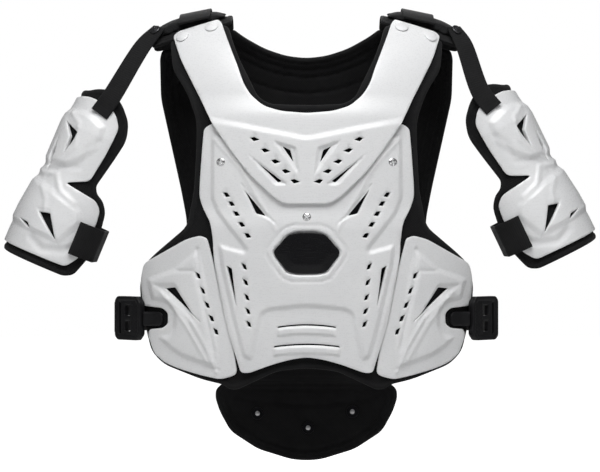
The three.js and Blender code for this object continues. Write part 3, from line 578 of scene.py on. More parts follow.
def moulded(name, light, dark, rough, edge_light, gloss=0.5):
    """Injection-moulded plastic: a cloudy tone, painted shade in its dips broken up by noise, a painted
    highlight along its borders, hair scratches that run two ways and a fine orange-peel skin."""
    m = Shader(name, light, rough, Coat_Weight=0.2 * gloss, Coat_Roughness=0.18, Specular_IOR_Level=gloss)
    tone = m.ramp(m.noise(9.0, 4.0, 0.55), 0.30, dark, 0.68, light)
    # Painted shade: darker where the surface lies below the plate's full height, broken up by noise.
    dip_shade = m.span(m.math("MULTIPLY", m.named("dip"), m.noise(70.0, 5.0, 0.7)), 0.0, 0.55)
    shaded_tone = m.blend(dip_shade, tone, [c * 0.80 for c in dark])
    # Painted highlight: the tone is lightened towards every border where the border mark is high.
    highlight_tone = [min(light[0] * 1.10, 0.95)] * 3
    m.join(m.blend(m.span(m.named("border_highlight"), 0.0, edge_light), shaded_tone, highlight_tone), "Base Color")
    scratches = m.math("MAXIMUM", m.stretched((40.0, 900.0, 900.0), (0.3, 0.7, 0.2)),
                       m.stretched((700.0, 30.0, 700.0), (1.1, 0.2, 0.9)))
    m.join(m.span(scratches, rough - 0.05, rough + 0.16, 0.45, 0.80), "Roughness")
    peel = m.bump(m.noise(620.0, 1.0), 0.05, 0.00008)
    m.join(m.bump(scratches, 0.05, 0.00006, peel), "Normal")


def knitted(name, light, dark, pitch, rough=0.86, ribbed=False, flat=True):
    """Knit or woven cloth: two crossed sets of threads, their pitch in metres, in the piece's own flat
    coordinates, or in the object's where flat is off, with fuzz, lint and a soft sheen."""
    m = Shader(name, dark, rough, Sheen_Weight=0.05, Sheen_Roughness=0.5, Specular_IOR_Level=0.15)
    source = m.add("ShaderNodeUVMap", {"uv_map": "flat"}).outputs["UV"] if flat else m.here
    turn = m.add("ShaderNodeMapping", Vector=source, Rotation=(0.0, 0.0, 0.0 if ribbed else math.radians(45)))
    threads = [m.add("ShaderNodeTexWave", {"bands_direction": way, "wave_profile": "SIN"},
                     Vector=turn.outputs[0], Scale=0.314 / pitch * scale, Distortion=0.6,
                     Detail=1.0).outputs["Fac"]
               for way, scale in (("X", 1.0), ("Y", 0.62 if ribbed else 1.0))]
    mesh = m.math("MULTIPLY", *threads)
    tone = m.ramp(m.noise(26.0, 5.0, 0.6), 0.28, dark, 0.75, light)
    m.join(m.blend(m.span(mesh, 0.0, 0.65), tone, [c * 1.5 for c in light]), "Base Color")
    fuzz = m.noise(1500.0, 2.0)
    m.join(m.span(fuzz, rough - 0.08, rough + 0.08), "Roughness")
    m.join(m.bump(mesh, 0.55, pitch * 0.22, m.bump(fuzz, 0.25, 0.0002)), "Normal")


def metal(name, color, rough, crown=None):
    """Turned metal: rings of brushing about the piece's height, small pits and a smudged gloss, with
    another tone on its crown, within 3 mm of its axis, where a crown is given."""
    m = Shader(name, color, rough, Metallic=1.0)
    smudge = m.noise(220.0, 4.0)
    tone = m.ramp(smudge, 0.3, [c * 0.8 for c in color], 0.7, color)
    if crown:
        tone = m.blend(m.span(m.named("reach"), 0.0, 1.0, 0.29, 0.33), crown, tone)
    m.join(tone, "Base Color")
    m.join(m.span(smudge, rough - 0.06, rough + 0.14), "Roughness")
    m.join(m.bump(m.stretched((2400.0, 600.0, 2400.0)), 0.15, 0.00005), "Normal")


def finishes():
    """Every finish of the protector, made once and found again by name."""
    if "white shell" not in bpy.data.materials:
        moulded("white shell", (0.80, 0.805, 0.81), (0.74, 0.745, 0.755), 0.30, 0.25)
        moulded("black moulding", (0.010, 0.010, 0.011), (0.005, 0.005, 0.006), 0.42, 0.1, 0.18)
        moulded("black gloss", (0.008, 0.008, 0.009), (0.004, 0.004, 0.005), 0.20, 0.1, 0.28)
        knitted("foam lining", (0.009, 0.009, 0.0095), (0.004, 0.004, 0.0045), 0.0022)
        knitted("rim binding", (0.012, 0.012, 0.0125), (0.006, 0.006, 0.0065), 0.0013)
        knitted("pad cloth", (0.011, 0.011, 0.0115), (0.005, 0.005, 0.0055), 0.0016, flat=False)
        knitted("strap weave", (0.012, 0.012, 0.0125), (0.006, 0.006, 0.0065), 0.0017, 0.78, True)
        metal("bright steel", (0.66, 0.66, 0.67), 0.20)
        metal("gunmetal", (0.10, 0.10, 0.105), 0.34)
        metal("black rivet", (0.018, 0.018, 0.02), 0.36, crown=(0.55, 0.55, 0.56))
    return bpy.data.materials


def dress(obj, finish, nodes):
    """Give the piece its finish and slot, let it ride on the one body, and stand for its nodes."""
    obj.data.materials.append(finishes()[finish])
    settle(obj, nodes)


def settle(obj, nodes):
    """Ride and stand-in for a piece that already has its materials."""
    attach(obj, "root")
    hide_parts(*nodes)


# Outlines and places: shares of the named half width and height, down from the top.
CHEST_EDGE = [[0, .516], [.186, .505], [.312, .477], [.410, .416], [.463, .355], [.509, .260], [.588, .122],
              [.638, .030], [.666, .006], [.962, .067], [.995, .090], [.924, .225], [.795, .406],
              [.678, .564], [.544, .710], [.424, .829], [.256, .954], [.167, 1.001], [0, 1.001]]
CHEST_RAISED = [[0, .630], [.655, .535], [.820, .512], [.820, .600], [.640, .770], [.480, .910], [.280, 1.07],
                [0, 1.09]]
CHEST_INNER_POCKET = [[.251, .653], [.071, .695], [.051, .857]]
CHEST_INNER_VENT = [[.175, .690], [.118, .711], [.096, .776]]
CHEST_OUTER_POCKET = [[.458, .705], [.229, .899], [.123, .899]]
CHEST_OUTER_VENT = [[.345, .782], [.205, .886], [.178, .878]]
CHEST_SLOTS = [[.370, .652], [.293, .713], [.220, .773], [.146, .826], [.082, .880]]
CAP_PLACES = [[.920, .096], [.708, .052]]
ABDOMEN_EDGE = [[0, .022], [.567, .005], [.882, .003], [.950, .022], [.967, .099], [.991, .244], [.994, .296],
                [.960, .341], [.882, .401], [.860, .469], [.846, .568], [.754, .775], [.707, .857], [.607, 1],
                [.531, 1.001], [.308, .965], [.151, .946], [0, .936]]
ABDOMEN_RAISED = [[0, .045], [.860, .045], [.882, .060], [.888, .300], [.835, .360], [.560, .512],
                  [.815, .480], [.790, .575], [.680, .790], [.590, .940], [.500, .955], [.440, .830],
                  [.400, .768], [.340, .752], [0, .738]]
ABDOMEN_LINES = [[[.86, .50], [.70, .80], [.600, .965]], [[.835, .07], [.60, .185], [.28, .43]],
                 [[.44, .80], [.50, .93]]]
ABDOMEN_POCKET = [[.707, .182], [.250, .415], [.400, .375]]
ABDOMEN_VENT = [[.572, .268], [.378, .372], [.465, .363]]
UPPER_SLOTS = [[.739, .288], [.693, .324], [.647, .364], [.594, .407], [.540, .451]]
LOWER_SLOTS = [[.566, .574], [.554, .637], [.543, .697], [.534, .752], [.526, .804]]
SIDE_SLIT = [[.727, .571], [.680, .582], [.641, .731]]
SCREW_PLACES = [[-.786, .157], [.786, .157], [0, .376]]
SIDE_EDGE = [[-.121, .025], [-.146, .039], [-.258, .211], [-.436, .563], [-.548, .708], [-.640, .963],
             [-.358, 1], [-.012, .971], [.353, .929], [.585, .890], [.755, .830], [.855, .705], [.830, .662],
             [.610, .652], [.520, .622], [.520, .544], [.610, .512], [.853, .503], [.944, .498],
             [.983, .321], [.925, .201], [.208, .032], [-.018, .008]]
SIDE_RAISED = [[.880, .305], [.420, .235], [-.010, .092], [-.070, .200], [-.190, .480], [-.330, .760],
               [-.340, .930], [-.040, .900], [.300, .850], [.520, .790], [.700, .710], [.500, .690],
               [.430, .640], [.430, .530], [.520, .480], [.800, .455]]
SIDE_POCKET = [[.780, .339], [.360, .338], [-.023, .640]]
SIDE_VENT = [[.554, .375], [.389, .366], [.078, .553], [-.031, .600]]
SIDE_SLOTS = [[.001, .283], [-.074, .387], [-.143, .485], [-.213, .577], [-.286, .668]]
# Grooves and ridges of the side plates, each with its rise.
SIDE_LINES = [([[.03, .10], [-.02, .30], [-.30, .93]], -1.5), ([[.36, .25], [.05, .25], [-.26, .80]], -1.3),
              ([[.10, .60], [-.12, .76], [-.30, .95]], 1.6), ([[.60, .40], [.20, .62], [-.16, .88]], 1.4)]
LINER_NECK = [[0, .225], [.215, .222], [.287, .203], [.335, .158], [.400, .099], [.441, .052]]
LINER_FLANK = [[.798, .123], [.708, .188], [.650, .262], [.651, .330], [.664, .450], [.707, .552],
               [.895, .625], [.957, .653], [.997, .708], [.990, .775], [.925, .899], [.849, .934],
               [.626, .972], [.498, .985], [.455, .998], [.408, .998], [.179, .947], [0, .938]]
BACK_NECK = [[0, .076], [.140, .070], [.287, .052], [.425, .024], [.503, .004]]
BACK_FLANK = [[.998, .083], [.994, .192], [.933, .313], [.864, .448], [.827, .532], [.820, .743],
              [.760, .900], [.660, 1], [0, 1]]
BACK_PLATE_EDGE = [[0, .120], [.300, .110], [.560, .085], [.800, .100], [.900, .160], [.900, .300],
                   [.800, .450], [.720, .600], [.700, .780], [.560, .960], [0, .980]]
TAIL_EDGE = [[0, 0], [.880, 0], [.985, .080], [.989, .190], [.942, .355], [.825, .600], [.529, .825],
             [.165, .955], [0, .970]]
TAIL_PLATE_EDGE = [[0, .040], [.850, .060], [.900, .200], [.740, .560], [.460, .760], [0, .880]]
RIVET_PLACES = [[-.540, .385], [.020, .567], [.510, .365]]
BUCKLE_EDGE = [[-.5, -.36], [-.36, -.5], [.40, -.5], [.5, -.40], [.5, .40], [.40, .5], [-.36, .5], [-.5, .36]]
BUCKLE_WINDOWS = [[-.10, -.30, .12, -.06], [-.10, .06, .12, .30], [.27, -.36, .35, .36]]
WAIST_BULGE = {-1: 40.0, 1: 28.0}
# Turned pieces: radius and height in millimetres.
CAP_PROFILE = [(.05, 0), (8.3, 0), (8.5, .35), (8.5, .9), (8.1, 1.35), (7.2, 1.75), (6.0, 2.15), (4.0, 2.6),
               (2.0, 2.9), (.05, 3.0)]
RIVET_PROFILE = [(.05, 0), (7.8, 0), (8.0, .3), (7.8, .8), (7.1, 1.0), (6.2, .75), (4.6, .7), (3.4, 1.0),
                 (3.1, 1.7), (2.4, 2.3), (1.2, 2.6), (.05, 2.65)]
SNAP_PROFILE = [(.05, 0), (6.3, 0), (6.5, .3), (6.5, .9), (5.9, 1.5), (4.6, 1.75), (4.1, 1.5), (3.4, 1.55),
                (2.2, 2.1), (1.0, 2.35), (.05, 2.4)]
SCREW_RADIUS, SCREW_HEIGHT, CROSS_HALF, CROSS_REACH, CROSS_DEPTH = 5.0, 2.5, 0.95, 3.6, 1.6
INSERT_EDGE = [[.30, 1], [.58, .86], [1, .10], [.98, -.12], [.60, -.90], [.34, -1], [-.34, -1],
               [-.60, -.90], [-.98, -.12], [-1, .10], [-.58, .86], [-.30, 1]]
INSERT_PLACE, INSERT_SIZE = 0.520, np.array([76.0, 50.0])
SIDE_REACH = 198.0
SIDE_HEIGHT = 175.0
WAIST_LEVEL = -371.0
SHOULDER_SLOPE = 0.29
# Guard outlines: degrees around the arm from its outermost line, and the share of the length.
GUARD_LINER = [[-52, .20], [-44, .09], [0, .06], [34, .05], [54, .022], [78, .004], [105, .060],
               [124, .130], [130, .21], [124, .321], [113, .500], [118, .535], [131, .560], [141, .610],
               [143, .697], [140, .850], [128, .975], [116, 1], [34, 1], [-40, .99], [-54, .95], [-56, .60]]
GUARD_SHELL = [[-42, .22], [-34, .13], [20, .10], [50, .080], [84, .085], [100, .120], [110, .175],
               [107, .333], [101, .490], [72, .545], [118, .572], [128, .612], [129, .685], [123, .880],
               [112, .950], [44, .955], [-30, .950], [-44, .90], [-46, .60]]
GUARD_RAISED_TOP = [[-20, .19], [60, .150], [94, .190], [96, .320], [84, .400], [66, .470], [20, .500],
                    [-20, .46]]
GUARD_RAISED_LOW = [[10, .560], [58, .590], [104, .640], [112, .700], [96, .860], [40, .850], [-20, .84],
                    [-20, .60]]
GUARD_VENTS = [[[33, .244], [61, .277], [54, .406], [52, .310]], [[59, .737], [73, .722], [90, .840]],
               [[37, .808], [52, .812], [56, .836]], [[30, .340], [36, .430], [33, .510], [27, .430]],
               [[-12, .30], [4, .27], [2, .40]], [[-14, .78], [2, .70], [4, .82]]]
# Flowing folds between the raised fields, each with its rise and its half width.
GUARD_FOLDS = [[[43, .56], [53, .49], [82, .44], [83, .34], [91, .28]],
               [[-19, .52], [30, .54], [55, .52], [72, .60], [94, .63]],
               [[63, .88], [80, .91], [100, .88], [117, .83]],
               [[36, .19], [58, .23], [66, .35], [47, .48], [20, .52]],
               [[44, .60], [60, .66], [66, .72]]]
GUARD_FOLD_SIZES = [(-1.5, 7.0), (1.6, 5.5), (-2.0, 8.0), (1.4, 5.0), (1.2, 5.0)]
# Small vents are leaning lozenges: shares of their length and of their width.
CHEST_LOZENGE = [[-.50, .28], [-.10, .50], [.50, -.10], [-.14, -.44]]
UPPER_LOZENGE = [[-.44, .52], [.14, .46], [.56, -.32], [-.12, -.46]]
LOWER_LOZENGE = [[-.55, .53], [.22, .18], [.45, -.46], [-.18, -.36]]


def shoulder_line(x):
    """Height of the panels' tops: it falls by the slope times the way out from the pad's inner edge."""
    return LINER_TOP + 1.8 - (np.abs(x) - PAD_INNER) * SHOULDER_SLOPE


def side_place(table, side):
    """Side shares: from the abdomen plate's half width (0) to the reach (1), and down from the top."""
    t = np.array(table, float)
    x = ABDOMEN[0] + t[:, 0] * (SIDE_REACH - ABDOMEN[0])
    points = np.stack([side * x, SIDE_TOP - t[:, 1] * SIDE_HEIGHT], -1)
    return points if side > 0 else points[::-1]


def lozenges(places, table, size, side=0):
    """The lozenge at each place, and its mirror image where no side is named."""
    form = np.array(table) * size
    found = []
    for x, z in places:
        if side <= 0:
            found.append(rounded(np.array([-abs(x), z]) + form, 0.8, 3))
        if side >= 0:
            found.append(rounded(mirror(np.array([-abs(x), z]) + form), 0.8, 3))
    return found


def arched(half, top, bottom, sag=0.010):
    """A strip across the abdomen plate whose ends sag by the square of the way out."""
    way = np.linspace(-1.0, 1.0, 13)
    upper = np.stack([way * half, top + sag * way ** 2], -1)
    lower = np.stack([way[::-1] * (half + .008), bottom + sag * way ** 2], -1)
    return place(np.concatenate([upper, lower]), ABDOMEN)


def dishes(shapes, rise, width):
    """A shallow dish under the upper end of each vent."""
    return [("line", np.array([v.mean(0) + [0, 2.5], v.mean(0) + [0, 4.5]]), rise, width) for v in shapes]


def pair(table, size, radius=1.5):
    """A shape and its mirror image."""
    shape = rounded(place(table, size), radius, 4)
    return [shape, mirror(shape)]


def length(name, description, default, **limits):
    """A length in metres that the panel shows in the scene's unit."""
    return FloatProperty(name=name, description=description, default=default, unit="LENGTH",
                         subtype="DISTANCE", **limits)


class ProtectorSettings(bpy.types.PropertyGroup):
    """Sizes shared by the plates and the padding."""
    mesh_step: length("Mesh step", "Spacing of the plates' mesh points", 0.0026, min=0.001)
    plate_edge: length("Plate edge", "Radius of the plates' moulded edges", 0.0010)
    relief: length("Relief", "Height of the raised fields on the plates", 0.0030)
    bevel: length("Relief bevel", "Width of the slope beside a raised field", 0.0056)
    rim: length("Rim", "Width of the rolled rim round the padding", 0.0055)
    rim_roll: length("Rim roll", "Radius of the padding's soft borders", 0.0030)
    swell: length("Swell", "Furthest that a cushion's cover may puff out", 0.0012)
    pressure: FloatProperty(name="Pressure", description="Air pressure inside a cushion while it swells",
                            default=4.0, min=0.0)
    frames: IntProperty(name="Frames", description="Steps of the cushion's swelling", default=20, min=1)


class StudioSettings(bpy.types.PropertyGroup):
    """Lights, surround and camera."""
    camera_distance: length("Camera distance", "From the object's middle plane", 3.2)
    camera_level: length("Camera level", "Height of the level camera", -0.27)
    field: length("Field", "Width of the view at the object's middle plane", 0.75)
    key: FloatProperty(name="Key light", description="Power of the big light overhead", default=37.0)
    back: FloatProperty(name="Back light", description="Power of the light behind the object", default=26.0)
    fill: FloatProperty(name="Fill light", description="Power of each light beside the camera", default=1.2)
    world: FloatProperty(name="Surround", description="Strength of the pale surround", default=0.15)


def sizes():
    """The shared sizes in millimetres."""
    s = bpy.context.scene.protector
    keys = ("mesh_step", "plate_edge", "relief", "bevel", "rim", "rim_roll")
    return {key: getattr(s, key) / MM for key in keys}


class Piece:
    """What the operators share: they run once in the 3D view and can be undone."""
    bl_options = {"REGISTER", "UNDO"}

    def execute(self, context):
        self.make(sizes())
        return {"FINISHED"}


def padding(name, outline, carry, high, k, channels=()):
    """A foam panel: soft borders on both faces, a rolled rim with a seam line inside it, and sewn
    channels pressed into the face that lies on the wearer."""
    rim = inset(outline, k["rim"])
    front = [("field", rim, -0.9, 1.6)]
    rear = [("line", np.vstack([rim, rim[:1]]), 1.6, 1.8)]
    rear += [("line", np.asarray(c, float), 2.2, 3.2) for c in channels]
    roll = k["rim_roll"]
    obj = plate(name, outline, carry, 0.0, high, (), front, k["mesh_step"] * 1.3, roll, roll, rear)
    for finish in ("foam lining", "rim binding"):
        obj.data.materials.append(finishes()[finish])
    layer = obj.data.uv_layers["flat"].data
    uv = np.empty(len(layer) * 2, np.float32)
    layer.foreach_get("uv", uv)
    uv = uv.reshape(-1, 2) * 1000
    starts = np.empty(len(obj.data.polygons), np.int32)
    obj.data.polygons.foreach_get("loop_start", starts)
    near = signed(uv[starts], outline) < k["rim"] + 0.4
    obj.data.polygons.foreach_set("material_index", near.astype(np.int32))
    return obj


def at(carry, *values):
    """One point of a form."""
    return carry(*(np.array([float(v)]) for v in values))[0]


def closed(loop):
    """The loop with its first point again at its end."""
    return np.vstack([loop, loop[:1]])


def panel_outline(neck, xs, flank, size):
    """A panel's outline: its neckline, the points of its shoulder line, its flank, and their mirror."""
    shoulder = np.stack([xs, shoulder_line(xs)], -1)
    return rounded(both(np.concatenate([place(neck, size), shoulder, place(flank, size)])), 10, 5)


class PROTECTOR_OT_front_liner(Piece, bpy.types.Operator):
    """Pad the front: the black foam panel that rims the white plates"""
    bl_idname = "protector.front_liner"
    bl_label = "Front liner"

    def make(self, k):
        outline = panel_outline(LINER_NECK, np.array([96.0, 126.0, 156.0, 165.0]), LINER_FLANK, FRONT_LINER)
        channels = [closed(inset(outline, 16)), closed(inset(outline, 30))]
        settle(padding("front_liner_padding", outline, on_front, LINER, k, channels),
               ["front_liner"])


class PROTECTOR_OT_rear_padding(Piece, bpy.types.Operator):
    """Pad the back: the panel with sewn channels, and the tail flap below it"""
    bl_idname = "protector.rear_padding"
    bl_label = "Back and tail padding"

    def make(self, k):
        outline = panel_outline(BACK_NECK, np.array([100.0, 126.0, 156.0, 180.0]), BACK_FLANK, BACK)
        channels = [closed(inset(outline, way_in)) for way_in in (13, 22, 42)]
        channels += [[[x, -150], [x * 0.9, -390]] for x in (-60, -20, 20, 60)]
        settle(padding("back_liner_padding", outline, on_back, LINER, k, channels),
               ["back_liner"])
        table = place(TAIL_EDGE, TAIL)
        table[:2, 1] += 2.6
        tail = rounded(both(table), 9, 5)
        arc = np.stack([np.linspace(-92, 92, 20), -478 - 10 * (1 - np.linspace(-1, 1, 20) ** 2)], -1)
        settle(padding("tail_padding", tail, on_back, LINER, k, [closed(inset(tail, 13)), arc]),
               ["tail_pad"])


class PROTECTOR_OT_chest_plate(Piece, bpy.types.Operator):
    """Mould the chest plate with its raised lower field, pockets and vents"""
    bl_idname = "protector.chest_plate"
    bl_label = "Chest plate"

    def make(self, k):
        outline = rounded(both(place(CHEST_EDGE, CHEST)), 7, 5)
        raised = rounded(both(place(CHEST_RAISED, CHEST)), 5, 4)
        slots = lozenges(place(CHEST_SLOTS, CHEST), CHEST_LOZENGE, (11.0, 5.8))
        holes = pair(CHEST_INNER_VENT, CHEST) + pair(CHEST_OUTER_VENT, CHEST) + slots
        features = [("field", raised, k["relief"] - 0.2, k["bevel"] + 1.6)]
        features += [("field", p, -3.0, 3.0) for p in
                     pair(CHEST_INNER_POCKET, CHEST, 2.5) + pair(CHEST_OUTER_POCKET, CHEST, 2.5)]
        features += dishes(slots, -1.3, 4.5)
        obj = plate("chest_shell", outline, on_chest, FACE_LOW, FACE_HIGH, holes, features, k["mesh_step"],
                    k["plate_edge"], 0.4)
        dress(obj, "white shell", ["chest_plate"])


class PROTECTOR_OT_abdomen_plate(Piece, bpy.types.Operator):
    """Mould the main plate with its bevelled fields, ribs and vents, and set the black insert on it"""
    bl_idname = "protector.abdomen_plate"
    bl_label = "Abdomen plate and insert"

    def make(self, k):
        outline = rounded(both(place(ABDOMEN_EDGE, ABDOMEN)), 7, 5)
        raised = rounded(both(place(ABDOMEN_RAISED, ABDOMEN)), 3.5, 4)
        slots = lozenges(place(UPPER_SLOTS, ABDOMEN), UPPER_LOZENGE, (8.6, 6.0))
        slots += lozenges(place(LOWER_SLOTS, ABDOMEN), LOWER_LOZENGE, (6.6, 8.6))
        slits = [arched(h, t, t + .006) for h, t in ((.262, .804), (.296, .882))]
        holes = pair(ABDOMEN_VENT, ABDOMEN) + pair(SIDE_SLIT, ABDOMEN) + slots + slits
        holes += [inset(v, -0.5) for v in pair(CHEST_INNER_VENT, CHEST) + pair(CHEST_OUTER_VENT, CHEST)
                  + lozenges(place(CHEST_SLOTS, CHEST), CHEST_LOZENGE, (11.0, 5.8))]
        features = [("field", raised, k["relief"], k["bevel"])]
        features += [("field", p, -3.0, 3.2) for p in pair(ABDOMEN_POCKET, ABDOMEN, 2.5)]
        features += dishes(slots, -1.0, 4.0)
        centre = np.array([0.0, ABDOMEN[1] - ABDOMEN[2] * INSERT_PLACE])

        def insert(grown, radius):
            return rounded(centre + np.array(INSERT_EDGE) * (INSERT_SIZE / 2 + grown), radius, 6)
        features += [("line", closed(insert(9, 14)), -1.4, 2.2), ("field", insert(2.4, 10), -2.9, 1.4)]
        features += [("field", arched(*rib), 1.7, 2.4) for rib in ((.268, .812, .846), (.304, .890, .924))]
        features += [("line", place(line, ABDOMEN) * [side, 1], 0.9, 3.6) for side in SIDES
                     for line in ABDOMEN_LINES]
        obj = plate("abdomen_shell", outline, on_abdomen, FACE_LOW, FACE_HIGH, holes, features,
                    k["mesh_step"], k["plate_edge"], 0.4)
        dress(obj, "white shell", ["abdomen_plate"])
        shape = insert(0, 9)
        rise = [("field", inset(shape, 2.4), 0.7, 9.0)]
        obj = plate("insert_cover", shape, on_abdomen, FACE_HIGH + 0.5, FACE_HIGH + RELIEF + 0.6, (), rise,
                    1.8, 1.2, 0.3)
        dress(obj, "black gloss", ["front_insert"])


class PROTECTOR_OT_side_plates(Piece, bpy.types.Operator):
    """Mould the two winged side plates with their ridges, notches and vents"""
    bl_idname = "protector.side_plates"
    bl_label = "Side plates"

    def make(self, k):
        for side in SIDES:
            outline = rounded(side_place(SIDE_EDGE, side), 7, 5)
            raised = rounded(side_place(SIDE_RAISED, side), 3, 4)
            pocket = rounded(side_place(SIDE_POCKET, side), 3, 4)
            vent = rounded(side_place(SIDE_VENT, side), 1.5, 4)
            slots = lozenges(side_place(SIDE_SLOTS, 1), LOWER_LOZENGE, (6.8, 9.0), side)
            features = [("field", raised, k["relief"] + 0.2, k["bevel"] + 1.0), ("field", pocket, -2.2, 3.6)]
            features += [("line", side_place(line, side), rise, 3.4) for line, rise in SIDE_LINES]
            features += dishes(slots, -0.7, 4.0)
            obj = plate(f"side_shell_{WORDS[side]}", outline, on_front, FACE_LOW, FACE_HIGH, [vent] + slots,
                        features, k["mesh_step"], k["plate_edge"], 0.4)
            dress(obj, "white shell", [f"side_plate_{WORDS[side]}"])


class PROTECTOR_OT_rear_plates(Piece, bpy.types.Operator):
    """Mould the back plate and the tail plate, finished plainly with two broad steps"""
    bl_idname = "protector.rear_plates"
    bl_label = "Back and tail plates"

    def make(self, k):
        outline = rounded(both(place(BACK_PLATE_EDGE, BACK)), 12, 6)
        spine = rounded(both(place([[0, .16], [.24, .17], [.30, .30], [.22, .90], [0, .93]], BACK)), 9, 5)
        features = [("field", inset(outline, 13), 2.2, 4.6), ("field", spine, 2.2, 4.6)]
        for t in (.24, .36, .48, .60, .72):
            rib = rounded(place([[.34, t], [.62, t - .03], [.62, t + .012], [.34, t + .045]], BACK), 3, 3)
            features += [("field", shape, -1.8, 3.0) for shape in (rib, mirror(rib))]
        obj = plate("back_shell", outline, on_back, FACE_LOW, FACE_HIGH, (), features, k["mesh_step"] * 1.3,
                    k["plate_edge"], 0.4)
        dress(obj, "white shell", ["back_plate"])
        outline = rounded(both(place(TAIL_PLATE_EDGE, TAIL)), 9, 5)
        obj = plate("tail_shell", outline, on_back, FACE_LOW, FACE_HIGH, (),
                    [("field", inset(outline, 11), 2.0, 4.2)], k["mesh_step"] * 1.2, k["plate_edge"], 0.4)
        dress(obj, "white shell", ["tail_plate"])


class PROTECTOR_OT_fastenings(Piece, bpy.types.Operator):
    """Turn the snap caps, the cross-head screws and the tail's rivets"""
    bl_idname = "protector.fastenings"
    bl_label = "Caps, screws and rivets"

    def make(self, k):
        for side in SIDES:
            for n, (x, z) in enumerate(place(CAP_PLACES, CHEST)):
                x = np.array(side * x)
                foot = on_chest(x, np.array(z), np.array(FACE_HIGH + 0.15))
                up = on_chest(x, np.array(z), np.array(FACE_HIGH + 1.15)) - foot
                obj = turned(f"cap_{WORDS[side]}_{n + 1}", foot, up, CAP_PROFILE)
                dress(obj, "white shell", [f"snap_cap_{WORDS[side]}_{n + 1}"])
        for n, (x, z) in enumerate(place(SCREW_PLACES, ABDOMEN)):
            self.screw(n + 1, x, z)
        for n, (x, z) in enumerate(place(RIVET_PLACES, TAIL)):
            foot = on_back(np.array(-x), np.array(z), np.array(-1.3))
            up = foot - on_back(np.array(-x), np.array(z), np.array(-0.3))
            obj = turned(f"rivet_{n + 1}", foot, up, RIVET_PROFILE)
            dress(obj, "black rivet", [f"tail_rivet_{n + 1}"])

    @staticmethod
    def screw(number, x, z):
        """A pan head with a cross: the dome falls with the way out to the power 2.6, and the cross sinks
        where either turned flat coordinate lies within its arm's half width."""
        sides = 72
        r = np.linspace(0.0, 1.0, 22)[:, None]
        a = np.linspace(0, 2 * math.pi, sides, endpoint=False)[None, :]
        u, v = SCREW_RADIUS * r * np.cos(a), SCREW_RADIUS * r * np.sin(a)
        turn = math.radians(50.0 + 25.0 * number)
        p = np.abs(u * math.cos(turn) + v * math.sin(turn))
        q = np.abs(v * math.cos(turn) - u * math.sin(turn))
        cross = (np.minimum(p, q) < CROSS_HALF) & (np.maximum(p, q) < CROSS_REACH)
        h = SCREW_HEIGHT * (1.0 - 0.62 * r ** 2.6) - np.where(cross, CROSS_DEPTH, 0.0)
        h = np.concatenate([h, np.zeros((1, sides))])
        u, v = np.concatenate([u, u[-1:]]), np.concatenate([v, v[-1:]])
        u[0] += 0.02 * np.cos(a[0])
        v[0] += 0.02 * np.sin(a[0])
        verts = on_abdomen(x + u.ravel(), z + v.ravel(), FACE_HIGH + RELIEF + h.ravel())
        obj = make_object(f"screw_head_{number}", verts, [f[::-1] for f in tube(len(h), sides)])
        dress(obj, "bright steel", [f"screw_{number}"])


def swollen(obj, cap, pressure, frames):
    """Puff a closed cushion: a coarse even mesh of it is inflated by the cloth solver, and no point
    moves further than the cap from where it began."""
    bpy.context.view_layer.objects.active = obj
    remesh = obj.modifiers.new("even", "REMESH")
    remesh.mode = "VOXEL"
    remesh.voxel_size = 0.004
    graph = bpy.context.evaluated_depsgraph_get()
    start = bpy.data.meshes.new_from_object(obj.evaluated_get(graph))
    obj.modifiers.clear()
    obj.data = start
    cloth = obj.modifiers.new("puff", "CLOTH")
    cloth.settings.use_pressure = True
    cloth.settings.uniform_pressure_force = pressure
    cloth.settings.effector_weights.gravity = 0.0
    cloth.point_cache.frame_start, cloth.point_cache.frame_end = 1, frames
    for frame_number in range(1, frames + 1):
        bpy.context.scene.frame_set(frame_number)
    graph = bpy.context.evaluated_depsgraph_get()
    puffed = obj.evaluated_get(graph).data
    before = np.empty(len(start.vertices) * 3)
    after = np.empty(len(start.vertices) * 3)
    start.vertices.foreach_get("co", before)
    puffed.vertices.foreach_get("co", after)
    move = (after - before).reshape(-1, 3)
    far = np.linalg.norm(move, axis=1, keepdims=True)
    move *= np.minimum(1.0, cap / np.maximum(far, 1e-9))
    obj.modifiers.clear()
    bpy.context.scene.frame_set(1)
    start.vertices.foreach_set("co", (before.reshape(-1, 3) + move).ravel())
    start.polygons.foreach_set("use_smooth", np.ones(len(start.polygons), bool))
    start.update()
    smooth = obj.modifiers.new("smooth", "SUBSURF")
    smooth.levels = smooth.render_levels = 1


def arch_carry(side, end):
    """Over the shoulder: u is the way across, and v in hundredths is the share of the way to the end."""
    def carry(u, v, o):
        return on_arch(u, v / 100.0 * end(np.abs(u)), o)
    return carry


def pad_end(x):
    """Where the pad's flap meets the panels' tops."""
    return around(x, shoulder_line(x) + CLEARANCE * 3)


def pad_top_end(x):
    """Where the cushion ends, a little above the chest plate's top."""
    return around(x, -10.0 + CLEARANCE * 1.3 - (x - PAD_INNER - 15) * SHOULDER_SLOPE)


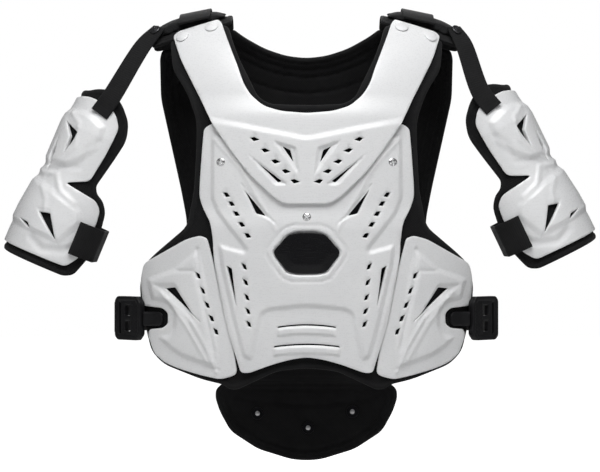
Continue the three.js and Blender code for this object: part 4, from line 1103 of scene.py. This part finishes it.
class PROTECTOR_OT_shoulder_pads(Piece, bpy.types.Operator):
    """Stuff the shoulder cushions, lay the bridging straps over them"""
    bl_idname = "protector.shoulder_pads"
    bl_label = "Shoulder pads and bridges"

    def make(self, k):
        s = bpy.context.scene.protector
        for side in SIDES:
            word = WORDS[side]
            xs = np.array([PAD_INNER, PAD_INNER + PAD_WIDTH])
            lo, hi = np.sort(side * xs)
            box = np.array([[lo, -100.0], [hi, -100.0], [hi, 100.0], [lo, 100.0]])
            flap = plate(f"shoulder_flap_{word}", rounded(box, 9, 5), arch_carry(side, pad_end), 0.0, 5.0, (),
                         [("field", inset(rounded(box, 9, 5), 4.5), -0.8, 1.4)], 3.6, 1.8, 1.8)
            dress(flap, "rim binding", [f"shoulder_pad_{word}"])
            inner = np.array([[lo + 4.5, -96.0], [hi - 4.5, -96.0], [hi - 4.5, 96.0], [lo + 4.5, 96.0]])
            form = rounded(inner, 10, 5)
            pad = plate(f"shoulder_cushion_{word}", form, arch_carry(side, pad_top_end), 4.6, 8.0, (),
                        [("field", form, 2.6, 22.0)], 3.6, 2.0, 1.0)
            swollen(pad, s.swell, s.pressure, s.frames)
            dress(pad, "pad cloth", [f"shoulder_pad_{word}"])
            middle = side * (PAD_INNER + PAD_WIDTH * 0.44)
            t = np.linspace(-0.96, 0.96, 40)
            x = np.full(40, middle)
            ts = t * pad_top_end(np.abs(x))
            o = np.full(40, CUSHION_TOP + WEBBING / 2)
            here = on_arch(x, ts, o)
            up = on_arch(x, ts, o + 1) - here
            wide = on_arch(x + 1, ts, o) - here
            wide /= np.linalg.norm(wide, axis=1, keepdims=True)
            obj = band(f"bridge_strap_{word}", here, wide, up, BRIDGE_WIDTH, WEBBING, 10)
            dress(obj, "strap weave", [f"shoulder_bridge_{word}"])


class PROTECTOR_OT_arm_guards(Piece, bpy.types.Operator):
    """Form the two arm guards: foam cuff, vented white shell and elastic band"""
    bl_idname = "protector.arm_guards"
    bl_label = "Arm guards"

    def make(self, k):
        for side in SIDES:
            word = WORDS[side]
            carry = on_guard(side)
            cuff = self.shape(side, GUARD_LINER, 9, 5)
            obj = padding(f"arm_cuff_{word}", cuff, carry, LINER, k, [closed(inset(cuff, 15))])
            settle(obj, [f"arm_liner_{word}"])
            shell = self.shape(side, GUARD_SHELL, 6, 5)
            vents = [self.shape(side, v, 1.5, 4) for v in GUARD_VENTS]
            features = [("field", self.shape(side, raised, 5, 4), 3.0, 7.5)
                        for raised in (GUARD_RAISED_TOP, GUARD_RAISED_LOW)]
            features += [("line", flat_guard(side, fold), rise, width)
                         for fold, (rise, width) in zip(GUARD_FOLDS, GUARD_FOLD_SIZES)]
            features += [("field", v + (v - v.mean(0)) * 0.55, -1.0, 4.0) for v in vents]
            obj = plate(f"arm_guard_shell_{word}", shell, carry, FACE_LOW, FACE_HIGH, vents, features,
                        k["mesh_step"], k["plate_edge"], 0.4)
            dress(obj, "white shell", [f"arm_shell_{word}"])
            # Behind the cuff's border the band runs straight: its share of reach inwards is held.
            angles = np.linspace(108.0, 318.0, 70)
            u = -side * angles
            v = np.full(70, -BAND_LEVEL * GUARD_LENGTH)
            o = FACE_HIGH + RELIEF + CLEARANCE + WEBBING / 2 - 4.2 * ease((angles - 116) / 26)
            straight = BAND_REACH / np.maximum(-np.cos(np.radians(angles)), BAND_REACH)
            o = (GUARD_RADIUS + o) * straight - GUARD_RADIUS
            here = carry(u, v, o)
            up = carry(u, v, o + 1) - here
            wide = np.tile(carry(u[:1], v[:1] - 1, o[:1]) - here[:1], (70, 1))
            wide /= np.linalg.norm(wide, axis=1, keepdims=True)
            obj = band(f"elastic_band_{word}", here, wide, up, BAND_WIDTH, WEBBING, 10)
            dress(obj, "strap weave", [f"arm_band_{word}"])

    @staticmethod
    def shape(side, table, radius, count):
        """A rounded outline on the guard, turned the same way round on both sides."""
        points = flat_guard(side, table)
        x, y = points.T
        area = np.sum(x * np.roll(y, -1) - np.roll(x, -1) * y)
        return rounded(points if area > 0 else points[::-1], radius, count)


class PROTECTOR_OT_arm_straps(Piece, bpy.types.Operator):
    """Run each arm strap from its shoulder snap down to the guard"""
    bl_idname = "protector.arm_straps"
    bl_label = "Arm straps and snaps"

    def make(self, k):
        for side in SIDES:
            word = WORDS[side]
            guard = on_guard(side)
            pad_x = PAD_INNER + PAD_WIDTH * 0.86
            t = -float(around(np.array(pad_x), -26.0))
            pad_out = at(on_arch, side * pad_x, t, 1) - at(on_arch, side * pad_x, t, 0)
            t = -float(around(np.array(pad_x), -22.0))
            top = at(on_arch, side * pad_x, t, PAD_THICKNESS + WEBBING / 2 + CLEARANCE * 1.6)

            def spot(angle, s, o):
                return at(guard, -side * angle, -s * GUARD_LENGTH, o)
            guard_out = spot(84, 0.1, 1) - spot(84, 0.1, 0)
            tab = spot(77, 0.145, FACE_HIGH + CLEARANCE + WEBBING / 2)
            edge = spot(83, 0.04, FACE_HIGH + CLEARANCE + 1.6)
            mixed = pad_out + guard_out
            mixed /= np.linalg.norm(mixed)
            stops = [(top, pad_out), (top + (edge - top) * 0.30 + pad_out * 4.5, mixed),
                     (edge, guard_out), (tab, guard_out)]
            points, wide, up = route(stops, 70)
            obj = band(f"arm_webbing_{word}", points, wide, up, ARM_WEBBING_WIDTH, WEBBING, 8)
            dress(obj, "strap weave", [f"arm_strap_{word}"])
            n = int(0.075 * 69)
            foot = points[n] + up[n] * (WEBBING / 2 + CLEARANCE * 1.6)
            obj = turned(f"strap_snap_{word}", foot, up[n], SNAP_PROFILE)
            dress(obj, "gunmetal", [f"arm_snap_{word}"])


class PROTECTOR_OT_waist_fastenings(Piece, bpy.types.Operator):
    """Fasten the waist on both sides: tongue, buckle and the webbing to the back"""
    bl_idname = "protector.waist_fastenings"
    bl_label = "Waist buckles and straps"

    def make(self, k):
        for side in SIDES:
            word = WORDS[side]
            seat = side * (SIDE_REACH - 8)
            hold = at(on_front, seat, WAIST_LEVEL, FACE_HIGH + BUCKLE_THICKNESS / 2 + CLEARANCE * 1.6)
            out = at(on_front, seat, WAIST_LEVEL, 1) - at(on_front, seat, WAIST_LEVEL, 0)
            out[2] = 0.0
            out /= np.linalg.norm(out)
            along = np.array([-out[1] * side, out[0] * side, 0.0])
            notch = [side * (ABDOMEN[0] + u * (SIDE_REACH - ABDOMEN[0])) for u in (0.60, 0.78)]
            points, wide, up = route([
                (at(on_front, notch[0], WAIST_LEVEL, FACE_LOW + 2), out),
                (at(on_front, notch[1], WAIST_LEVEL, FACE_LOW + 2.6), out),
                (hold - along * 2.5, out)], 26)
            way = np.linspace(0, 1, 26)
            taper = np.sqrt(np.clip(1 - (1 - np.minimum(way / 0.22, 1.0)) ** 2 * 0.86, 0.1, 1))
            obj = band(f"tongue_{word}", points, wide, up, TONGUE_WIDTH, TONGUE_THICKNESS, 8, taper)
            dress(obj, "black moulding", [f"waist_tongue_{word}"])
            upright = np.array([0.0, 0.0, 1.0])
            normal = np.cross(along, upright)
            centre = hold + along * (BUCKLE_LENGTH / 2)

            def carry(u, v, o):
                return centre + u[..., None] * along + v[..., None] * upright + o[..., None] * normal
            size = [BUCKLE_LENGTH, BUCKLE_HEIGHT]
            edge = rounded(np.array(BUCKLE_EDGE) * size, 3, 5)
            windows = [rounded(np.array([[a, b], [c, b], [c, d], [a, d]]) * size, 1.5, 4)
                       for a, b, c, d in BUCKLE_WINDOWS]
            ridges = [np.array([[-18 + n * 3.2, -19], [-18 + n * 3.2, 19]]) for n in range(4)]
            faces = [[("field", inset(edge, 4.0), -0.9 * way_in, 1.5)]
                     + [("line", ridge, 0.5 * way_in, 1.5) for ridge in ridges] for way_in in (1.0, -1.0)]
            obj = plate(f"buckle_{word}", edge, carry, -BUCKLE_THICKNESS / 2, BUCKLE_THICKNESS / 2, windows,
                        faces[0], 2.2, 1.2, 1.2, faces[1])
            dress(obj, "black moulding", [f"waist_buckle_{word}"])
            start = hold + along * (BUCKLE_LENGTH + CLEARANCE * 3)
            anchor = -side * BACK_ANCHOR
            back_out = at(on_back, anchor, WAIST_LEVEL, 1) - at(on_back, anchor, WAIST_LEVEL, 0)
            bulge = SIDE_REACH + WAIST_BULGE[side]
            points, wide, up = route([
                (start, out),
                (np.array([side * bulge, 8.0, WAIST_LEVEL]), np.array([side, 0.0, 0.0])),
                (np.array([side * (SIDE_REACH + 14), 52.0, WAIST_LEVEL]), np.array([side, 0.7, 0.0])),
                (at(on_back, -side * (BACK_ANCHOR + 22), WAIST_LEVEL, FACE_LOW + 2), back_out),
                (at(on_back, anchor, WAIST_LEVEL, FACE_LOW + 1.6), back_out)], 80)
            obj = band(f"waist_webbing_{word}", points, wide, up, WAIST_WEBBING_WIDTH, WEBBING, 10)
            dress(obj, "strap weave", [f"waist_strap_{word}"])


def pale_floor():
    """A flat ring of quads, level with z = -0.75 m, that glows white to the camera far from the object."""
    rings, spokes, low = 39, 64, -750.0
    r = 9000.0 * np.linspace(0.0, 1.0, rings + 1)[1:, None]
    a = np.linspace(0.0, 2.0 * math.pi, spokes, endpoint=False)[None, :]
    verts = np.stack([r * np.cos(a), r * np.sin(a), np.full((rings, spokes), low)], -1).reshape(-1, 3)
    floor = make_object("floor", verts, [f[::-1] for f in tube(rings, spokes)[:-1]])
    paper = Shader("paper", (0.74, 0.74, 0.74), 0.9, Emission_Color=(1.0, 1.0, 1.0, 1.0))
    grain = paper.ramp(paper.noise(60.0, 3.0), 0.2, (0.72, 0.72, 0.72), 0.8, (0.76, 0.76, 0.76))
    paper.join(grain, "Base Color")
    away = paper.add("ShaderNodeVectorMath", {"operation": "LENGTH"}, Vector=paper.here).outputs["Value"]
    seen = paper.add("ShaderNodeLightPath").outputs["Is Camera Ray"]
    paper.join(paper.math("MULTIPLY", paper.span(away, 0.0, 1.0, 0.9, 2.0), seen), "Emission Strength")
    floor.data.materials.append(paper.material)


def lamp(name, place_at, size, power, aim):
    """A soft rectangular light turned towards the aim."""
    data = bpy.data.lights.new(name, "AREA")
    data.shape, data.size, data.size_y = "RECTANGLE", size, size * 0.7
    data.energy = power
    obj = bpy.data.objects.new(name, data)
    obj.location = place_at
    way = np.array(aim) - np.array(place_at)
    pitch = math.acos(-way[2] / np.linalg.norm(way))
    obj.rotation_euler = (pitch, 0.0, math.atan2(way[1], way[0]) - math.pi / 2)
    bpy.context.scene.collection.objects.link(obj)


def surround(strength):
    """A world that the camera sees as white and that lights the object with the given strength."""
    world = bpy.data.worlds.new("surround")
    world.use_nodes = True
    tree = world.node_tree
    sky = tree.nodes["Background"]
    sky.inputs["Color"].default_value = (1.0, 1.0, 1.0, 1.0)
    seen = tree.nodes.new("ShaderNodeLightPath")
    level = tree.nodes.new("ShaderNodeMapRange")
    level.inputs["To Min"].default_value = strength
    level.inputs["To Max"].default_value = 1.0
    tree.links.new(seen.outputs["Is Camera Ray"], level.inputs["Value"])
    tree.links.new(level.outputs["Result"], sky.inputs["Strength"])
    bpy.context.scene.world = world


class PROTECTOR_OT_stage(bpy.types.Operator):
    """Set the pale floor, the soft lights, the surround and the camera"""
    bl_idname = "protector.stage"
    bl_label = "Stage and camera"
    bl_options = {"REGISTER", "UNDO"}

    def execute(self, context):
        s = context.scene.studio
        pale_floor()
        lamp("overhead", (0.0, -1.2, 1.3), 1.5, s.key, (0.0, 0.0, -0.2))
        lamp("left", (-2.2, -2.2, 0.3), 1.6, s.fill * 2.0, (0.0, 0.0, -0.3))
        lamp("right", (2.2, -2.2, 0.3), 1.6, s.fill, (0.0, 0.0, -0.3))
        lamp("behind", (0.0, 1.9, 1.1), 1.6, s.back, (0.0, 0.0, -0.3))
        surround(s.world)
        context.scene.view_settings.view_transform = "Standard"
        data = bpy.data.cameras.new("view")
        data.sensor_width = 36.0
        data.lens = data.sensor_width * s.camera_distance / s.field
        data.dof.use_dof = False
        camera = bpy.data.objects.new("view", data)
        camera.location = (-0.0081, -s.camera_distance, s.camera_level)
        camera.rotation_euler = (math.pi / 2, 0.0, 0.0)
        context.scene.collection.objects.link(camera)
        context.scene.camera = camera
        return {"FINISHED"}


STEPS = ("stage", "front_liner", "rear_padding", "abdomen_plate", "chest_plate", "side_plates", "rear_plates",
         "fastenings", "shoulder_pads", "arm_guards", "arm_straps", "waist_fastenings")


class PROTECTOR_PT_panel(bpy.types.Panel):
    """The sizes and the building steps, in the 3D view's sidebar"""
    bl_idname = "PROTECTOR_PT_panel"
    bl_label = "Protector"
    bl_space_type = "VIEW_3D"
    bl_region_type = "UI"
    bl_category = "Protector"

    def draw(self, context):
        layout = self.layout
        for group in (context.scene.protector, context.scene.studio):
            box = layout.box()
            for key in group.__annotations__:
                box.prop(group, key)
        for step in STEPS:
            layout.operator("protector." + step)


CLASSES = (ProtectorSettings, StudioSettings, PROTECTOR_OT_stage, PROTECTOR_OT_front_liner,
           PROTECTOR_OT_rear_padding, PROTECTOR_OT_abdomen_plate, PROTECTOR_OT_chest_plate,
           PROTECTOR_OT_side_plates, PROTECTOR_OT_rear_plates, PROTECTOR_OT_fastenings,
           PROTECTOR_OT_shoulder_pads, PROTECTOR_OT_arm_guards, PROTECTOR_OT_arm_straps,
           PROTECTOR_OT_waist_fastenings, PROTECTOR_PT_panel)


def register():
    for cls in CLASSES:
        bpy.utils.register_class(cls)
    bpy.types.Scene.protector = PointerProperty(type=ProtectorSettings)
    bpy.types.Scene.studio = PointerProperty(type=StudioSettings)


def unregister():
    del bpy.types.Scene.studio
    del bpy.types.Scene.protector
    for cls in reversed(CLASSES):
        bpy.utils.unregister_class(cls)


def main():
    register()
    for step in STEPS:
        getattr(bpy.ops.protector, step)()


if __name__ == "__main__":
    main()
